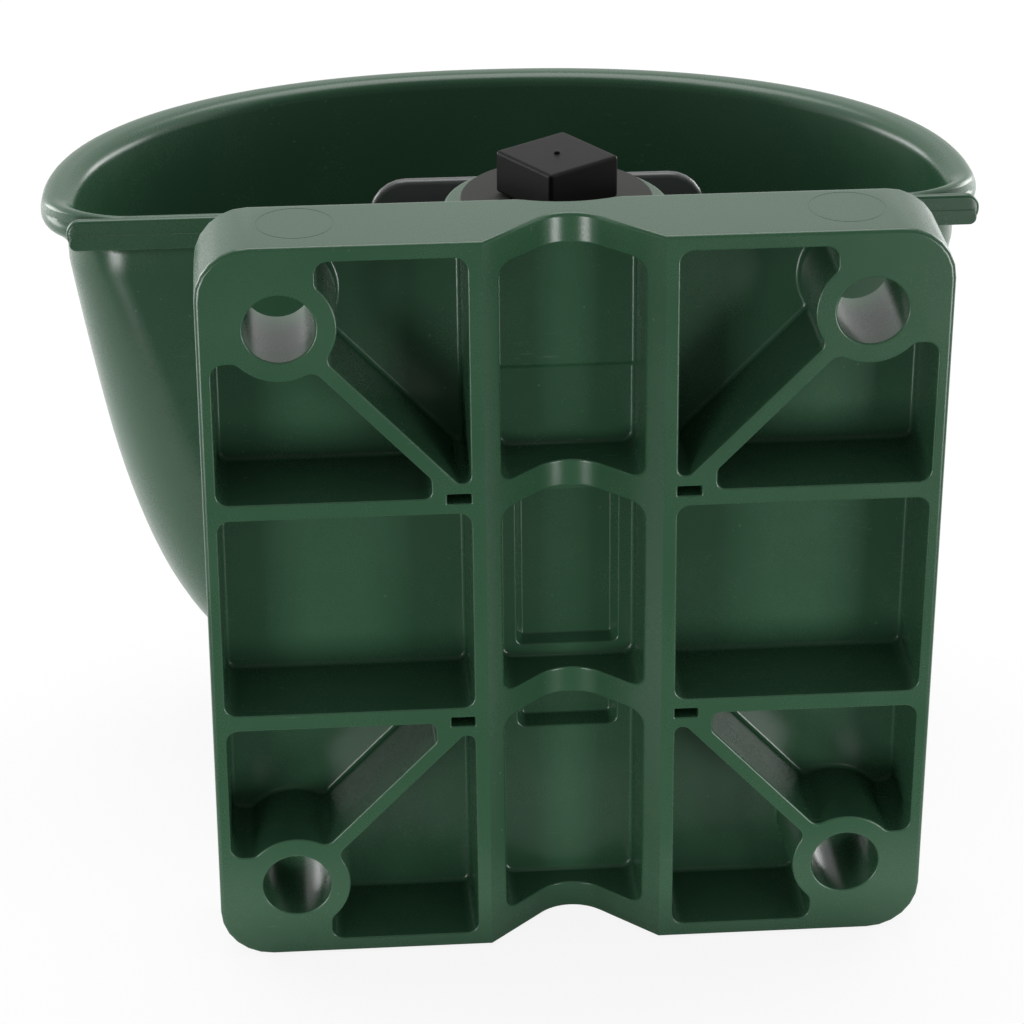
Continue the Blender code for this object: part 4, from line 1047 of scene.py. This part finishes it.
def sheet(name, low, high, finish, turn=Matrix.Identity(4)):
    """Lay a level sheet between two corners, or stand one up with a turn."""
    shape = bmesh.new()
    bmesh.ops.create_grid(shape, x_segments=1, y_segments=1, size=0.5, matrix=turn)
    bmesh.ops.scale(shape, vec=Vector(high) - Vector(low), verts=shape.verts)
    bmesh.ops.translate(shape, vec=(Vector(low) + Vector(high)) / 2, verts=shape.verts)
    mesh = bpy.data.meshes.new(name)
    shape.to_mesh(mesh)
    shape.free()
    mesh.materials.append(finish)
    item = bpy.data.objects.new(name, mesh)
    bpy.context.scene.collection.objects.link(item)
    return item


def softbox(name, place, aim, size, power):
    """Hang a rectangular soft lamp that faces a point."""
    data = bpy.data.lights.new(name, "AREA")
    data.shape = "RECTANGLE"
    data.size, data.size_y = size
    data.energy = power
    lamp = bpy.data.objects.new(name, data)
    lamp.location = place
    lamp.rotation_euler = (Vector(aim) - Vector(place)).to_track_quat("-Z", "Y").to_euler()
    bpy.context.scene.collection.objects.link(lamp)


FLOOR_Z = cad_low.z - 0.0005
TABLE_EDGE = 0.04
ROOM = 4.0
white, white_shader, white_place = new_finish("white_floor", Roughness=0.9)
white_shader.inputs["Base Color"].default_value = (0.9, 0.9, 0.9, 1)
seen = white_place.node("ShaderNodeLightPath", output="Is Camera Ray")
glow = white_place.node("ShaderNodeEmission", inputs={"Color": (1, 1, 1, 1), "Strength": 1.0})
diffuse = Wire(white.node_tree, white_shader.outputs[0])
mixed = white_place.node("ShaderNodeMixShader", inputs={0: seen * 0.88, 1: diffuse, 2: glow})
white.node_tree.links.new(mixed.socket, white.node_tree.nodes["Material Output"].inputs["Surface"])
sheet("white_floor", (-ROOM, -ROOM, FLOOR_Z), (ROOM, TABLE_EDGE, FLOOR_Z), white)

dark, dark_shader, dark_place = new_finish("dark_cloth", Roughness=0.9)
dark_shader.inputs["Base Color"].default_value = (0.06, 0.06, 0.06, 1)
GROUND_Z = FLOOR_Z - 0.4
cloth = sheet("dark_cloth", (-ROOM, TABLE_EDGE, GROUND_Z), (ROOM, ROOM, GROUND_Z), dark)
cloth.visible_camera = False
CARD_PLACE = 1.5
CARD_HALF = 3.0
CARD_TOP = 5.0
card = sheet("dark_card", (-CARD_HALF, CARD_PLACE, -1), (CARD_HALF, CARD_PLACE, CARD_TOP), dark, UPRIGHT)
card.visible_camera = False
card.visible_diffuse = False
card.visible_shadow = False

ROOM_LIGHT = 0.50
world = bpy.data.worlds.new("white_room")
world.use_nodes = True
bpy.context.scene.world = world
background = world.node_tree.nodes["Background"]
background.inputs["Color"].default_value = (1, 1, 1, 1)
room = Wire(world.node_tree)
seen = room.node("ShaderNodeLightPath", output="Is Camera Ray")
seen = seen + room.node("ShaderNodeLightPath", output="Is Glossy Ray")
seen = seen + room.node("ShaderNodeLightPath", output="Is Transmission Ray")
connect(background, "Strength", ROOM_LIGHT + seen * (1 - ROOM_LIGHT))
world.cycles.sampling_method = "NONE"

MIDDLE = (0, -0.08, 0)
softbox("overhead", (0, -0.35, 1.1), MIDDLE, (0.8, 0.8), 7.0)
for side, name in ((1, "left"), (-1, "right")):
    softbox(name + "_front", (side * 0.50, 0.65, -0.15), MIDDLE, (0.28, 0.28), 3.4)
    softbox(name + "_back", (side * 0.80, -0.55, 0.18), MIDDLE, (0.7, 0.4), 6.0)
bpy.context.scene.view_settings.view_transform = "Standard"

# %% Finish of the carried pieces
CARRIED = {"black_rubber": RUBBER, "brass": BRASS, "stainless": STEEL, "moulded_black": BLACK,
           "moulded_green": GREEN, "washer_grey": WASHER}
slots = {part["node"]: part["material_slot"] for part in frame["record"]["subparts"]}
for node, item in frame["nodes"].items():
    item.data.materials.clear()
    item.data.materials.append(CARRIED[slots[node]])
print("carried finishes on", len(slots), "nodes")
